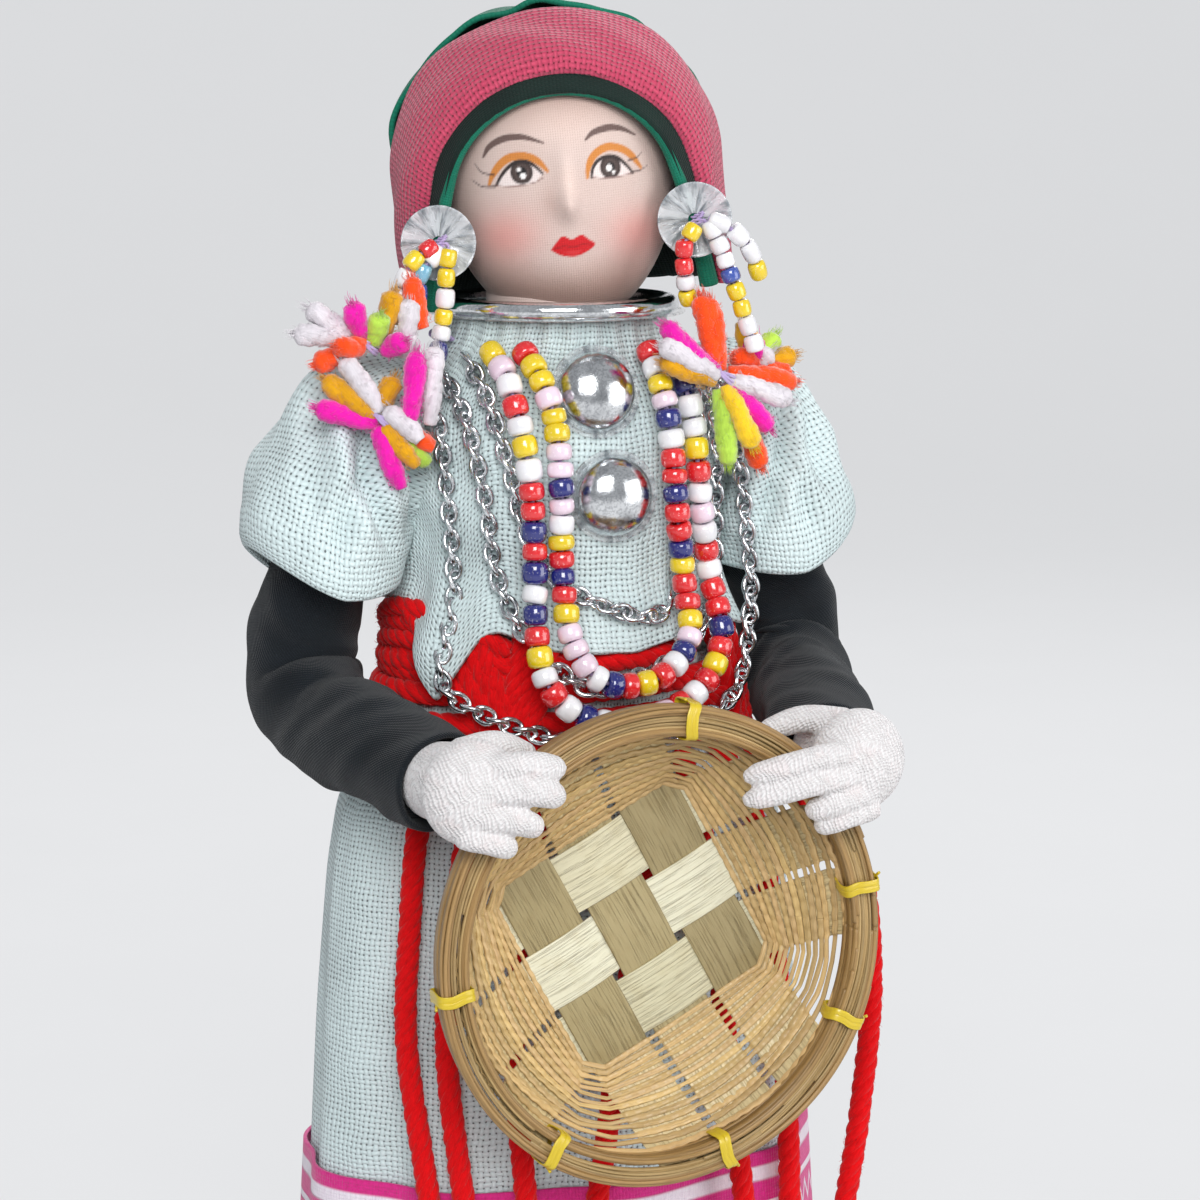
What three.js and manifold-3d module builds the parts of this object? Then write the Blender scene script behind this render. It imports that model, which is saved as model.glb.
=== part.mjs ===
// Cloth doll in hill tribe dress on a round wooden stand, holding a round bamboo tray.
// Millimetres, Z up. The doll faces -Y, so its right arm is on the -X side.
// The origin is the centre of the underside of the stand.
import * as THREE from "three";
import { mergeVertices } from "three/addons/utils/BufferGeometryUtils.js";
import Module from "manifold-3d";

const wasm = await Module();
wasm.setup();

// Clearances
const gap = 0.3;
const yarnTurnGap = 0.7;

// Stand
const standRadius = 42;
const standThickness = 8;
const standEdgeRadius = 1.6;
const standSocketDepth = 5.7;

// Wires that run inside the cloth pieces
const legWireDiameter = 2;
const spineWireDiameter = 2.4;
const armWireDiameter = 1.6;
const legWireInTorso = 18;
const spineWireInTorso = 30;
const spineWireInHead = 14;

// Legs and feet
const legSpacing = 18;
const ankleRadius = 4.4;
const calfRadius = 6.6;
const thighRadius = 8.2;
const footWidth = 10.5;
const footLength = 22;
const footHeight = 9;
const footForward = 4.5;

// Dress: height of the hem above the stand, length of the skirt and the cloth's thickness
const hemAboveStand = 30;
const skirtLength = 96;
const skirtCloth = 0.9;
const foldCount = 9;
const foldDepth = 1.1;
const bandHeight = 21;
const bandCloth = 0.9;
const bodiceCloth = 1.1;
const bodiceEase = 0.2;
const bodiceSides = 16;
const bodiceHemAboveWaist = 3.4;
const bodiceHemFlare = 3.2;
const collarHeight = 7;
const collarRadiusX = 16;
const collarSpread = 1;
const collarRadiusY = 14.6;

// Torso: rows of height from the waist, half width and half depth
const torsoBelowWaist = 24;
const torsoForm = [
  [-torsoBelowWaist, 15, 11],
  [-17, 19.5, 13.5],
  [0, 22.6, 15.4],
  [12, 23.4, 16.2],
  [22, 24, 16.8],
  [31, 24.2, 16.4],
  [37, 22.9, 14.9],
  [42, 18.4, 12.9],
];

// Skirt: rows of height from the hem, half width and half depth, up to the waist seam
const skirtForm = [
  [0, 39.5, 27],
  [44, 37, 24.2],
  [64, 35.4, 22.8],
  [75, 33.6, 21.6],
  [84, 26.2, 18.6],
];

// Sash of red yarn and its hanging tails: how far above the hem band a tail leaves the skirt,
// and the length of a step of a tail in yarn diameters
const yarnDiameter = 3.4;
const sashTurns = 3;
const sashBelowWaist = 11.2;
const tailEase = 0.7;
const tailSettle = 8;
const tailStep = 2.6;

// Neck ring and the two domed studs on the chest
const neckRadius = 10.5;
const ringRadius = 16.6;
const ringTube = 1.35;
const ringFlange = 2.3;
const sheetThickness = 0.5;
const domeRadius = 5.4;
const domeHeight = 4.4;
const domeFlangeRadius = 6.2;
const domeDrops = [9.8, 24.4];

// Head, turned towards the doll's right and leaning a little
const headRadii = [17.3, 17.5, 19.5];
const headAboveCollar = 22;
const headTurn = -16;
const headLean = -5;
const noseLength = 1.3;
const noseWidth = 3.4;
const noseHeight = 4.6;
const noseDrop = 5.5;

// Hood: side room beside the face, length below the head's centre and slant of the opening
const hoodSideRoom = 4.2;
const hoodDrop = 19;
const hoodSlant = 17;
const hoodEdge = 11.8;
const hoodEase = 0.9;
const hoodBandWidth = 15.5;
const liningCloth = 0.7;
const liningReveal = 1.4;
const hoodBandCloth = 1.6;
const hoodCapCloth = 1.1;

// Ear discs and the bead strands that hang from them
const earDiscRadius = 5.3;
const earDiscDepth = 1.5;
const earDiscSpread = 18.2;
const earDiscDrop = 9.3;
const earDiscHole = 0.9;
const earBeadDiameter = 2.7;
const earBeadPitch = 2.2;
const earKnotForward = 1.4;
const earKnotRadii = [1.8, 1.4, 1.5];
const threadDiameter = 1;
const threadDrop = 2.6;

// Necklaces, with the height over which they pass from the chest to the sash
const beadDiameter = 3.8;
const beadPitch = 3.5;
const necklaceRise = 9;
const chainWidth = 2.6;
const chainThickness = 1.1;
const chainLink = 2.9;

// Arms: heights are given from the waist
const elbowAboveWaist = -4;
const elbowY = 3;
const sleeveCuffRadius = 11.6;
const cuffAboveElbow = 15.4;
const cuffSlant = 12;
const armRadiusShoulder = 6.6;
const armRadiusElbow = 8;
const armRadiusWrist = 7.4;
const elbowBend = 12;

// Tray: outer half width and height of the rim, depth of the bowl and its square floor
const trayRadiusX = 32.4;
const trayRadiusZ = 34.1;
const trayBelowWaist = 34.6;
const trayDepth = 12;
const trayWall = 1.1;
const trayStandOff = 1.8;
// Rows of the share of the way from the rim to the floor's edge, and the share of the depth
const trayWallRows = [[0.16, 0.38], [0.55, 0.72]];
const trayFloorSide = 31.6;
const trayFloorTurn = 28;
const trayCornerShare = 1.3;
const innerHoop = 1.2;
const outerHoop = 1.5;
const hoopHeight = 4.2;
const hoopFront = 1.2;
const trayTieWidth = 2.2;
const trayTieThickness = 0.5;
const trayTieAngles = [83, 11, -24, -72, -122, 187];
const trayTilt = 8;

// Where the hands hold the rim, from its top
const gripAngle = 49;

// Hands
const fingerRadius = 1.7;
const fingerTaper = 1.1;
const wristRadius = 5;
const palmRadii = [7.2, 4.8, 7.4];

// Heights that follow from the sizes above
const standTop = standThickness;
const hemZ = standTop + hemAboveStand;
const waistZ = hemZ + skirtLength;
const torsoTopZ = waistZ + torsoForm.at(-1)[0] + 2;
const collarZ = waistZ + torsoForm.at(-1)[0] + collarHeight;

const radians = THREE.MathUtils.degToRad;

// A soft or hard finish for one sub-part
function finish(color, roughness, metalness = 0) {
  return new THREE.MeshStandardMaterial({ color, roughness, metalness });
}

const colours = {
  wood: () => finish(0x3a2416, 0.45),
  steel: () => finish(0x9a9c9e, 0.4, 0.9),
  blackCloth: () => finish(0x17181b, 0.9),
  skinCloth: () => finish(0xe9bfa6, 0.8),
  whiteCloth: () => finish(0xe6e7e4, 0.9),
  pinkBand: () => finish(0xc2257f, 0.85),
  redYarn: () => finish(0xc8121a, 0.95),
  crimson: () => finish(0xb23450, 0.9),
  green: () => finish(0x00735a, 0.7),
  darkGreen: () => finish(0x0c3d33, 0.8),
  silver: () => finish(0xc9cbce, 0.15, 1),
  clear: () => finish(0xcfd2d4, 0.15),
  redBeads: () => finish(0xcf1c26, 0.15),
  whiteBeads: () => finish(0xe8dfe6, 0.15),
  yellowBeads: () => finish(0xdcc21b, 0.15),
  pinkYarn: () => finish(0xe01f9a, 0.95),
  orangeYarn: () => finish(0xff5a22, 0.95),
  handCloth: () => finish(0xf0e2dc, 0.85),
  bamboo: () => finish(0xc9a365, 0.6),
  yellowTie: () => finish(0xc9b32a, 0.5),
};

// Closed body through rings of points. The rings run counterclockwise about the way they go
function loft(rings, closed = false) {
  const count = rings[0].length;
  const positions = rings.flat().flatMap((point) => [point.x, point.y, point.z]);
  const triangles = [];
  const spans = closed ? rings.length : rings.length - 1;
  for (let row = 0; row < spans; row += 1) {
    const here = row * count;
    const there = ((row + 1) % rings.length) * count;
    for (let i = 0; i < count; i += 1) {
      const next = (i + 1) % count;
      triangles.push(here + i, here + next, there + next);
      triangles.push(here + i, there + next, there + i);
    }
  }
  if (!closed) {
    addCap(positions, triangles, rings[0], 0, true);
    addCap(positions, triangles, rings.at(-1), (rings.length - 1) * count, false);
  }
  const geometry = new THREE.BufferGeometry();
  geometry.setAttribute("position", new THREE.Float32BufferAttribute(positions, 3));
  geometry.setIndex(triangles);
  return geometry;
}

function addCap(positions, triangles, ring, first, reversed) {
  const centre = new THREE.Vector3();
  ring.forEach((point) => centre.addScaledVector(point, 1 / ring.length));
  const middle = positions.length / 3;
  positions.push(centre.x, centre.y, centre.z);
  ring.forEach((_, i) => {
    const a = first + i;
    const b = first + ((i + 1) % ring.length);
    triangles.push(middle, reversed ? b : a, reversed ? a : b);
  });
}

// Open shell between an outer and an inner stack of rings
function shell(outer, inner) {
  return loft([...outer, ...[...inner].reverse()], true);
}

function ellipseRing(z, radiusX, radiusY, count) {
  return Array.from({ length: count }, (_, i) => {
    const angle = (2 * Math.PI * i) / count;
    return new THREE.Vector3(radiusX * Math.cos(angle), radiusY * Math.sin(angle), z);
  });
}

// Body swept along a curve: section(i) gives the offsets across the curve at step i
function sweep(curve, steps, section) {
  const frames = curve.computeFrenetFrames(steps, false);
  const rings = [];
  for (let i = 0; i <= steps; i += 1) {
    const centre = curve.getPointAt(i / steps);
    rings.push(section(i).map(([across, up]) => centre.clone()
      .addScaledVector(frames.normals[i], across)
      .addScaledVector(frames.binormals[i], up)));
  }
  return loft(rings);
}

function circleSection(radius, sides) {
  return Array.from({ length: sides }, (_, i) => {
    const angle = (2 * Math.PI * i) / sides;
    return [radius * Math.cos(angle), radius * Math.sin(angle)];
  });
}

function curveThrough(points) {
  return new THREE.CatmullRomCurve3(points.map((p) => new THREE.Vector3(...p)), false, "centripetal");
}

// Round limb through stations of [x, y, z, radius], with domed ends
function limb(stations, sides, rounds = [true, true]) {
  const curve = curveThrough(stations.map((station) => station.slice(0, 3)));
  const steps = (stations.length - 1) * 2;
  const radiusAt = (t) => {
    const place = t * (stations.length - 1);
    const row = Math.min(Math.floor(place), stations.length - 2);
    return THREE.MathUtils.lerp(stations[row][3], stations[row + 1][3], place - row);
  };
  const frames = curve.computeFrenetFrames(steps, false);
  const rings = [];
  const ring = (i, along, radius) => {
    const centre = curve.getPoint(i / steps).addScaledVector(frames.tangents[i], along);
    return circleSection(radius, sides).map(([across, up]) => centre.clone()
      .addScaledVector(frames.normals[i], across)
      .addScaledVector(frames.binormals[i], up));
  };
  const dome = (i, way) => [35, 68].map((degrees) => {
    const radius = radiusAt(i / steps);
    const turn = radians(way < 0 ? 103 - degrees : degrees);
    return ring(i, way * radius * Math.sin(turn), radius * Math.cos(turn));
  });
  if (rounds[0]) {
    rings.push(...dome(0, -1));
  }
  for (let i = 0; i <= steps; i += 1) {
    rings.push(ring(i, 0, radiusAt(i / steps)));
  }
  if (rounds[1]) {
    rings.push(...dome(steps, 1));
  }
  return loft(rings);
}

// Round cord along a curve
function cord(curve, radius, sides, steps) {
  const outline = new THREE.Shape();
  circleSection(radius, sides).forEach(([x, y], i) => (i ? outline.lineTo(x, y) : outline.moveTo(x, y)));
  return new THREE.ExtrudeGeometry(outline, { steps, bevelEnabled: false, extrudePath: curve });
}

// Straight round bar between two points
function bar(from, to, radius, sides = 8) {
  const start = new THREE.Vector3(...from);
  const end = new THREE.Vector3(...to);
  const along = end.clone().sub(start);
  const upright = new THREE.Vector3(0, 1, 0);
  const turn = new THREE.Quaternion().setFromUnitVectors(upright, along.clone().normalize());
  const middle = start.add(end).multiplyScalar(0.5);
  return new THREE.CylinderGeometry(radius, radius, along.length(), sides)
    .applyQuaternion(turn)
    .translate(middle.x, middle.y, middle.z);
}

function ellipsoid(centre, radii, around = 16, up = 10) {
  return new THREE.SphereGeometry(1, around, up).rotateX(Math.PI / 2).scale(...radii).translate(...centre);
}

function block(size, centre) {
  return new THREE.BoxGeometry(...size).translate(...centre);
}

// Solids for joins and cuts
function solid(geometry) {
  const bare = geometry.index ? geometry.toNonIndexed() : geometry.clone();
  bare.deleteAttribute("normal");
  bare.deleteAttribute("uv");
  const merged = mergeVertices(bare, 1e-3);
  const vertProperties = new Float32Array(merged.attributes.position.array);
  const triVerts = Uint32Array.from(merged.index.array);
  return new wasm.Manifold(new wasm.Mesh({ numProp: 3, vertProperties, triVerts }));
}

function geometryOf(body) {
  const mesh = body.getMesh();
  const geometry = new THREE.BufferGeometry();
  geometry.setAttribute("position", new THREE.Float32BufferAttribute(mesh.vertProperties, 3));
  geometry.setIndex(new THREE.Uint32BufferAttribute(mesh.triVerts, 1));
  return geometry;
}

function join(...geometries) {
  return geometryOf(geometries.map(solid).reduce((whole, body) => whole.add(body)));
}

function cut(geometry, ...tools) {
  return geometryOf(tools.map(solid).reduce((whole, body) => whole.subtract(body), solid(geometry)));
}

function common(geometry, other) {
  return geometryOf(solid(geometry).intersect(solid(other)));
}

// Copies of a geometry turned forwards about a level axis at [y, z], for the room that it sweeps
function swept(geometry, [y, z], range, steps) {
  return join(...Array.from({ length: steps + 1 }, (_, i) => geometry.clone()
    .translate(0, -y, -z)
    .rotateX(-radians((range * i) / steps))
    .translate(0, y, z)));
}

function piece(name, geometry, material) {
  const mesh = new THREE.Mesh(geometry, material());
  mesh.name = name;
  return mesh;
}

// Half width and half depth of a form at a height, straight between its rows
function formAt(form, height) {
  const row = form.findIndex((entry, i) => i > 0 && height <= entry[0]);
  const high = form[row < 0 ? form.length - 1 : row];
  const low = form[row < 0 ? form.length - 2 : row - 1];
  const share = THREE.MathUtils.clamp((height - low[0]) / (high[0] - low[0]), 0, 1);
  return [THREE.MathUtils.lerp(low[1], high[1], share), THREE.MathUtils.lerp(low[2], high[2], share)];
}

const torsoAtWaist = formAt(torsoForm, 0);
const skirtWaist = torsoAtWaist.map((radius) => radius + gap + skirtCloth);
const skirtRows = [...skirtForm, [skirtLength, ...skirtWaist]];

// Outside of the bodice, with rows of height from the waist
const bodiceLayer = gap + bodiceCloth + bodiceEase;
const bodiceHem = formAt(torsoForm, bodiceHemAboveWaist);
const bodiceForm = [
  [bodiceHemAboveWaist, ...bodiceHem.map((radius) => radius + bodiceLayer + bodiceHemFlare)],
  ...torsoForm.filter((row) => row[0] > bodiceHemAboveWaist)
    .map(([height, ...radii]) => [height, ...radii.map((radius) => radius + bodiceLayer)]),
  [collarZ - waistZ - 3, collarRadiusX + collarSpread, collarRadiusY],
  [collarZ - waistZ, collarRadiusX, collarRadiusY],
];

// Ring of the skirt at a height from the hem, lifted off its outside
function skirtRing(height, lift, count = foldCount * 4) {
  const [radiusX, radiusY] = formAt(skirtRows, height);
  const depth = foldDepth * (1 - height / skirtLength);
  return Array.from({ length: count }, (_, i) => {
    const angle = (2 * Math.PI * i) / count;
    const fold = lift + depth * Math.cos(foldCount * angle + 0.8);
    return new THREE.Vector3(
      (radiusX + fold) * Math.cos(angle),
      (radiusY + fold) * Math.sin(angle),
      hemZ + height,
    );
  });
}

// Front of a form at a place across, lifted off it, up to a share of its half width
const frontShare = 0.93;

function frontOf([radiusX, radiusY], x, lift) {
  const share = Math.min(Math.abs(x) / (radiusX + lift), frontShare);
  return -(radiusY + lift) * Math.sqrt(1 - share * share);
}

// Sash: its helix follows the skirt, and its outside carries the necklaces
const sashRadius = yarnDiameter / 2;
const sashPitch = yarnDiameter + yarnTurnGap;
const sashBottomZ = waistZ - sashBelowWaist;
const sashTopZ = sashBottomZ + sashTurns * sashPitch;

function sashCentre(z, lift = gap + sashRadius) {
  const [radiusX, radiusY] = formAt(skirtRows, Math.min(z - hemZ, skirtLength));
  const depth = Math.max(0, foldDepth * (1 - (z - hemZ) / skirtLength));
  return [radiusX + depth + lift, radiusY + depth + lift];
}

// What the necklaces rest on, with rows of height from the waist
const sashOutside = sashCentre(sashBottomZ, gap + yarnDiameter);
const chestForm = [
  [sashBottomZ - waistZ - yarnDiameter, ...sashOutside],
  [sashTopZ - waistZ, ...sashOutside],
  ...bodiceForm.filter((row) => row[0] > sashTopZ - waistZ + necklaceRise),
];

function onChest(x, drop, lift, forward = 0) {
  const z = collarZ - drop;
  return [x, Math.min(frontOf(formAt(chestForm, z - waistZ), x, lift), -forward), z];
}

function stand() {
  const edge = Array.from({ length: 4 }, (_, i) => {
    const angle = radians(30 * i);
    const out = standRadius - standEdgeRadius * (1 - Math.cos(angle));
    return new THREE.Vector2(out, standTop - standEdgeRadius * (1 - Math.sin(angle)));
  });
  const underside = [new THREE.Vector2(0, 0), new THREE.Vector2(standRadius, 0)];
  const outline = [...underside, ...edge, new THREE.Vector2(0, standTop)];
  const disc = new THREE.LatheGeometry(outline, 28).rotateX(Math.PI / 2);
  const holes = [-1, 1].map((side) => {
    const x = (side * legSpacing) / 2;
    return bar([x, 0, standTop - standSocketDepth], [x, 0, standTop + 1], legWireDiameter / 2 + gap, 12);
  });
  return piece("stand_base", cut(disc, ...holes), colours.wood);
}

// Legs, feet and the wires that hold them up
const soleZ = standTop + gap;
const torsoBottomZ = waistZ - torsoBelowWaist;
const legTopZ = torsoBottomZ - gap;

function leg(name, side) {
  const x = (side * legSpacing) / 2;
  const rows = [
    [soleZ + 2, ankleRadius],
    [soleZ + footHeight, ankleRadius],
    [soleZ + footHeight + 16, calfRadius],
    [soleZ + footHeight + 34, calfRadius],
    [legTopZ - 12, thighRadius],
    [legTopZ, thighRadius],
  ];
  const shaft = loft(rows.map(([z, radius]) => ellipseRing(z, radius, radius, 10))).translate(x, 0, 0);
  const foot = ellipsoid([x, -footForward, soleZ], [footWidth / 2, footLength / 2, footHeight], 12, 8);
  const half = block([footWidth * 2, footLength * 2, footHeight * 2], [x, -footForward, soleZ + footHeight]);
  const channel = bar([x, 0, soleZ - 1], [x, 0, legTopZ + 1], legWireDiameter / 2 + gap, 8);
  return piece(name, cut(join(common(foot, half), shaft), channel), colours.blackCloth);
}

function legWire(name, side) {
  const x = (side * legSpacing) / 2;
  const bottom = standTop - standSocketDepth + gap;
  const wire = bar([x, 0, bottom], [x, 0, torsoBottomZ + legWireInTorso], legWireDiameter / 2);
  return piece(name, wire, colours.steel);
}

// Arms. Places are for each side: shoulder, mid sleeve, cuff and elbow across the body
const arms = {
  right: { side: -1, shoulderX: -28.5, sleeveX: -34, cuffX: -36.2, elbowX: -38.6 },
  left: { side: 1, shoulderX: 27.5, sleeveX: 31.5, cuffX: 33.6, elbowX: 37.4 },
};
const shoulderZ = collarZ - 14.5;
const elbowZ = waistZ + elbowAboveWaist;
const elbowPivot = [elbowY, elbowZ];

function upperArmStations({ shoulderX, sleeveX, cuffX, elbowX }, grow = 0) {
  return [
    [shoulderX, 0, shoulderZ, armRadiusShoulder + grow],
    [sleeveX, 0, (shoulderZ + elbowZ) / 2 + 3, armRadiusShoulder + 1 + grow],
    [elbowX, elbowY - 1, elbowZ + armRadiusElbow - 1, armRadiusElbow + grow],
  ];
}

// The tray stands in front of the skirt and the hanging yarn, far enough out that the beads
// clear its back when the elbows lift it
const trayZ = waistZ - trayBelowWaist;
const trayFloorBottom = trayZ - trayFloorSide * Math.SQRT1_2;
const skirtFront = formAt(skirtRows, trayFloorBottom - hemZ)[1] + foldDepth / 2;
const trayBackY = -(skirtFront + foldDepth / 2 + trayStandOff + yarnDiameter);
const trayRimY = trayBackY - trayWall - trayDepth;
const hoopOutside = trayWall / 2 + gap + outerHoop;
const hoopInside = trayWall / 2 + gap + innerHoop;
const hoopBack = hoopFront - hoopHeight;

// The hands hold the rim at these places
function gripOf(side) {
  const angle = radians(90 - side * gripAngle);
  return [trayRadiusX * Math.cos(angle), trayRimY, trayZ + trayRadiusZ * Math.sin(angle)];
}

const gripZ = gripOf(1)[2];
const trayPivot = [trayRimY, gripZ];

function wristOf(side) {
  const [x, y, z] = gripOf(side);
  return [x + side * 4.4, y + 9.5, z + 1.2];
}

function palmOf(side) {
  const [x, y, z] = gripOf(side);
  return [x + side * 3.4, y - 2, z + 2.4];
}

function forearmStations({ side, elbowX }, grow = 0) {
  const [x, y, z] = wristOf(side);
  const middle = [elbowX * 0.35 + x * 0.65 + side * 2.5, elbowY * 0.5 + y * 0.5, elbowZ * 0.5 + z * 0.5 - 1];
  return [
    [elbowX, elbowY, elbowZ, armRadiusElbow + grow],
    [...middle, (armRadiusElbow + armRadiusWrist) / 2 + grow],
    [x, y, z, armRadiusWrist + grow],
  ];
}

function forearmWireTube(arm, grow) {
  const [elbow, middle] = forearmStations(arm).map((station) => station.slice(0, 3));
  const line = curveThrough([elbow, middle, wristOf(arm.side), palmOf(arm.side)]);
  return cord(line, armWireDiameter / 2 + grow, 5, 6);
}

// Tray geometry in its own frame: X across, Y up, Z towards the viewer
function trayRing(share, depth, lift, count = 32) {
  const halfSide = trayFloorSide / 2;
  return Array.from({ length: count }, (_, i) => {
    const angle = (2 * Math.PI * i) / count;
    const turned = angle - radians(trayFloorTurn);
    const square = halfSide / Math.max(Math.abs(Math.cos(turned)), Math.abs(Math.sin(turned)));
    const floor = Math.min(square, halfSide * trayCornerShare);
    const rimX = trayRadiusX - hoopOutside;
    const rimZ = trayRadiusZ - hoopOutside;
    const radiusX = THREE.MathUtils.lerp(rimX, floor, share) + lift;
    const radiusY = THREE.MathUtils.lerp(rimZ, floor, share) + lift;
    return new THREE.Vector3(radiusX * Math.cos(angle), radiusY * Math.sin(angle), depth);
  });
}

// Bowl with the wall's two faces set off from its middle
function trayBowl(outward, inward, back, front, top) {
  const [upper, lower] = trayWallRows;
  const outside = [
    trayRing(1, -trayDepth - back, outward - trayWall / 2),
    trayRing(lower[0], -trayDepth * lower[1] - back, outward),
    trayRing(upper[0], -trayDepth * upper[1] - back / 2, outward),
    trayRing(0, hoopBack - trayTieThickness - 2 * gap, outward),
    trayRing(0, top, outward),
  ];
  const inside = [
    trayRing(1, -trayDepth + front, -inward),
    trayRing(lower[0], -trayDepth * lower[1] + front, -inward),
    trayRing(upper[0], -trayDepth * upper[1] + front / 2, -inward),
    trayRing(0, hoopBack - trayTieThickness - 2 * gap, -inward),
    trayRing(0, top, -inward),
  ];
  return loft([...outside, ...inside.reverse()]);
}

function trayFrame() {
  const group = new THREE.Group();
  group.position.set(0, trayRimY, trayZ);
  group.rotation.x = Math.PI / 2;
  group.updateMatrixWorld(true);
  return group;
}

// Room that the tray's wall and hoops take while it tilts in the hands, in the doll's frame
function trayRoom() {
  const half = trayWall / 2;
  const wall = trayBowl(half + gap, half + gap, trayWall + gap, gap, hoopFront + gap);
  const rim = shell(
    [trayRing(0, hoopBack - gap, hoopOutside + gap), trayRing(0, hoopFront + gap, hoopOutside + gap)],
    [trayRing(0, hoopBack - gap, -hoopInside - gap), trayRing(0, hoopFront + gap, -hoopInside - gap)],
  );
  const whole = join(wall, rim).applyMatrix4(trayFrame().matrixWorld);
  return swept(whole, trayPivot, trayTilt, 1);
}

function trayTieRing(angle, outerGrow) {
  const inner = [-hoopInside - gap, hoopOutside + gap, hoopBack - gap, hoopFront + gap];
  const t = trayTieThickness + outerGrow;
  const outline = new THREE.Shape();
  outline.moveTo(inner[0] - t, inner[2] - t);
  outline.lineTo(inner[1] + t, inner[2] - t);
  outline.lineTo(inner[1] + t, inner[3] + t);
  outline.lineTo(inner[0] - t, inner[3] + t);
  outline.closePath();
  const hole = new THREE.Path();
  hole.moveTo(inner[0] + outerGrow, inner[2] + outerGrow);
  hole.lineTo(inner[0] + outerGrow, inner[3] - outerGrow);
  hole.lineTo(inner[1] - outerGrow, inner[3] - outerGrow);
  hole.lineTo(inner[1] - outerGrow, inner[2] + outerGrow);
  hole.closePath();
  outline.holes.push(hole);
  const width = trayTieWidth + 2 * outerGrow;
  const rimX = trayRadiusX - hoopOutside;
  const rimY = trayRadiusZ - hoopOutside;
  const turn = Math.atan2(rimX * Math.sin(angle), rimY * Math.cos(angle));
  return new THREE.ExtrudeGeometry(outline, { depth: width, steps: 1, bevelEnabled: false })
    .translate(0, 0, -width / 2)
    .rotateX(Math.PI / 2)
    .rotateZ(turn)
    .translate(rimX * Math.cos(angle), rimY * Math.sin(angle), 0);
}

function tray() {
  const group = trayFrame();
  const half = trayWall / 2;
  const angles = trayTieAngles.map(radians);
  const slots = angles.map((angle) => trayTieRing(angle, gap));
  const bowl = cut(trayBowl(half, half, trayWall, 0, hoopFront - gap), ...slots);
  group.add(piece("tray_bowl", bowl, colours.bamboo));
  const hoop = (from, to) => shell(
    [trayRing(0, hoopBack, to), trayRing(0, hoopFront, to)],
    [trayRing(0, hoopBack, from), trayRing(0, hoopFront, from)],
  );
  group.add(piece("tray_outer_hoop", hoop(half + gap, hoopOutside), colours.bamboo));
  group.add(piece("tray_inner_hoop", hoop(-hoopInside, -half - gap), colours.bamboo));
  angles.forEach((angle, i) => {
    group.add(piece(`tray_tie_${i + 1}`, trayTieRing(angle, 0), colours.yellowTie));
  });
  return group;
}

function torso() {
  const sides = 16;
  const shoulderRounding = 3;
  const rows = torsoForm.map(([height, ...radii]) => ellipseRing(waistZ + height, ...radii, sides));
  const [, topX, topY] = torsoForm.at(-1);
  rows.push(ellipseRing(torsoTopZ, topX - shoulderRounding, topY - shoulderRounding, sides));
  const legHoles = [-1, 1].map((side) => {
    const x = (side * legSpacing) / 2;
    const end = torsoBottomZ + legWireInTorso + gap;
    return bar([x, 0, torsoBottomZ - 1], [x, 0, end], legWireDiameter / 2 + gap);
  });
  const spineEnd = torsoTopZ - spineWireInTorso - gap;
  const spineHole = bar([0, 0, spineEnd], [0, 0, torsoTopZ + 1], spineWireDiameter / 2 + gap);
  const body = cut(loft(rows), ...legHoles, spineHole, shoulderWireTube(gap));
  return piece("torso", body, colours.whiteCloth);
}

// One wire runs from inside one upper arm, through the chest behind the spine, to the other
const wireBack = spineWireDiameter / 2 + armWireDiameter / 2 + 3 * gap;
const wireStraight = 18;

function shoulderWireTube(grow) {
  const inArm = ({ shoulderX, cuffX, elbowX }) => [
    [shoulderX, wireBack / 2, shoulderZ - 1],
    [(shoulderX + cuffX) / 2, 0.5, (shoulderZ + elbowZ) / 2 + 9],
    [(cuffX + elbowX) / 2, elbowY - 2.2, elbowZ + armRadiusElbow + 4],
  ];
  const straight = [-wireStraight, wireStraight].map((x) => [x, wireBack, shoulderZ]);
  const points = [...inArm(arms.right).reverse(), ...straight, ...inArm(arms.left)];
  return cord(curveThrough(points), armWireDiameter / 2 + grow, 5, 12);
}

function bodice() {
  const rings = (inset) => bodiceForm.map(([height, radiusX, radiusY]) => ellipseRing(
    waistZ + height,
    radiusX - inset,
    radiusY - inset,
    bodiceSides,
  ));
  const dress = shell(rings(0), rings(bodiceCloth));
  return piece("bodice", cut(dress, shoulderWireTube(gap)), colours.whiteCloth);
}

function skirt() {
  const heights = skirtRows.map((row) => row[0]);
  const rings = (lift) => heights.map((height) => skirtRing(height, lift));
  return piece("skirt", shell(rings(0), rings(-skirtCloth)), colours.whiteCloth);
}

function hemBand() {
  const rings = (lift) => [0, bandHeight].map((height) => skirtRing(height, lift));
  return piece("hem_band", shell(rings(gap + bandCloth), rings(gap)), colours.pinkBand);
}

// Sash: one unbroken yarn wound round the waist
function sashPoint(turn) {
  const z = sashBottomZ + turn * sashPitch;
  const [radiusX, radiusY] = sashCentre(z);
  const angle = 2 * Math.PI * turn - Math.PI / 3;
  return [radiusX * Math.cos(angle), radiusY * Math.sin(angle), z];
}

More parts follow.
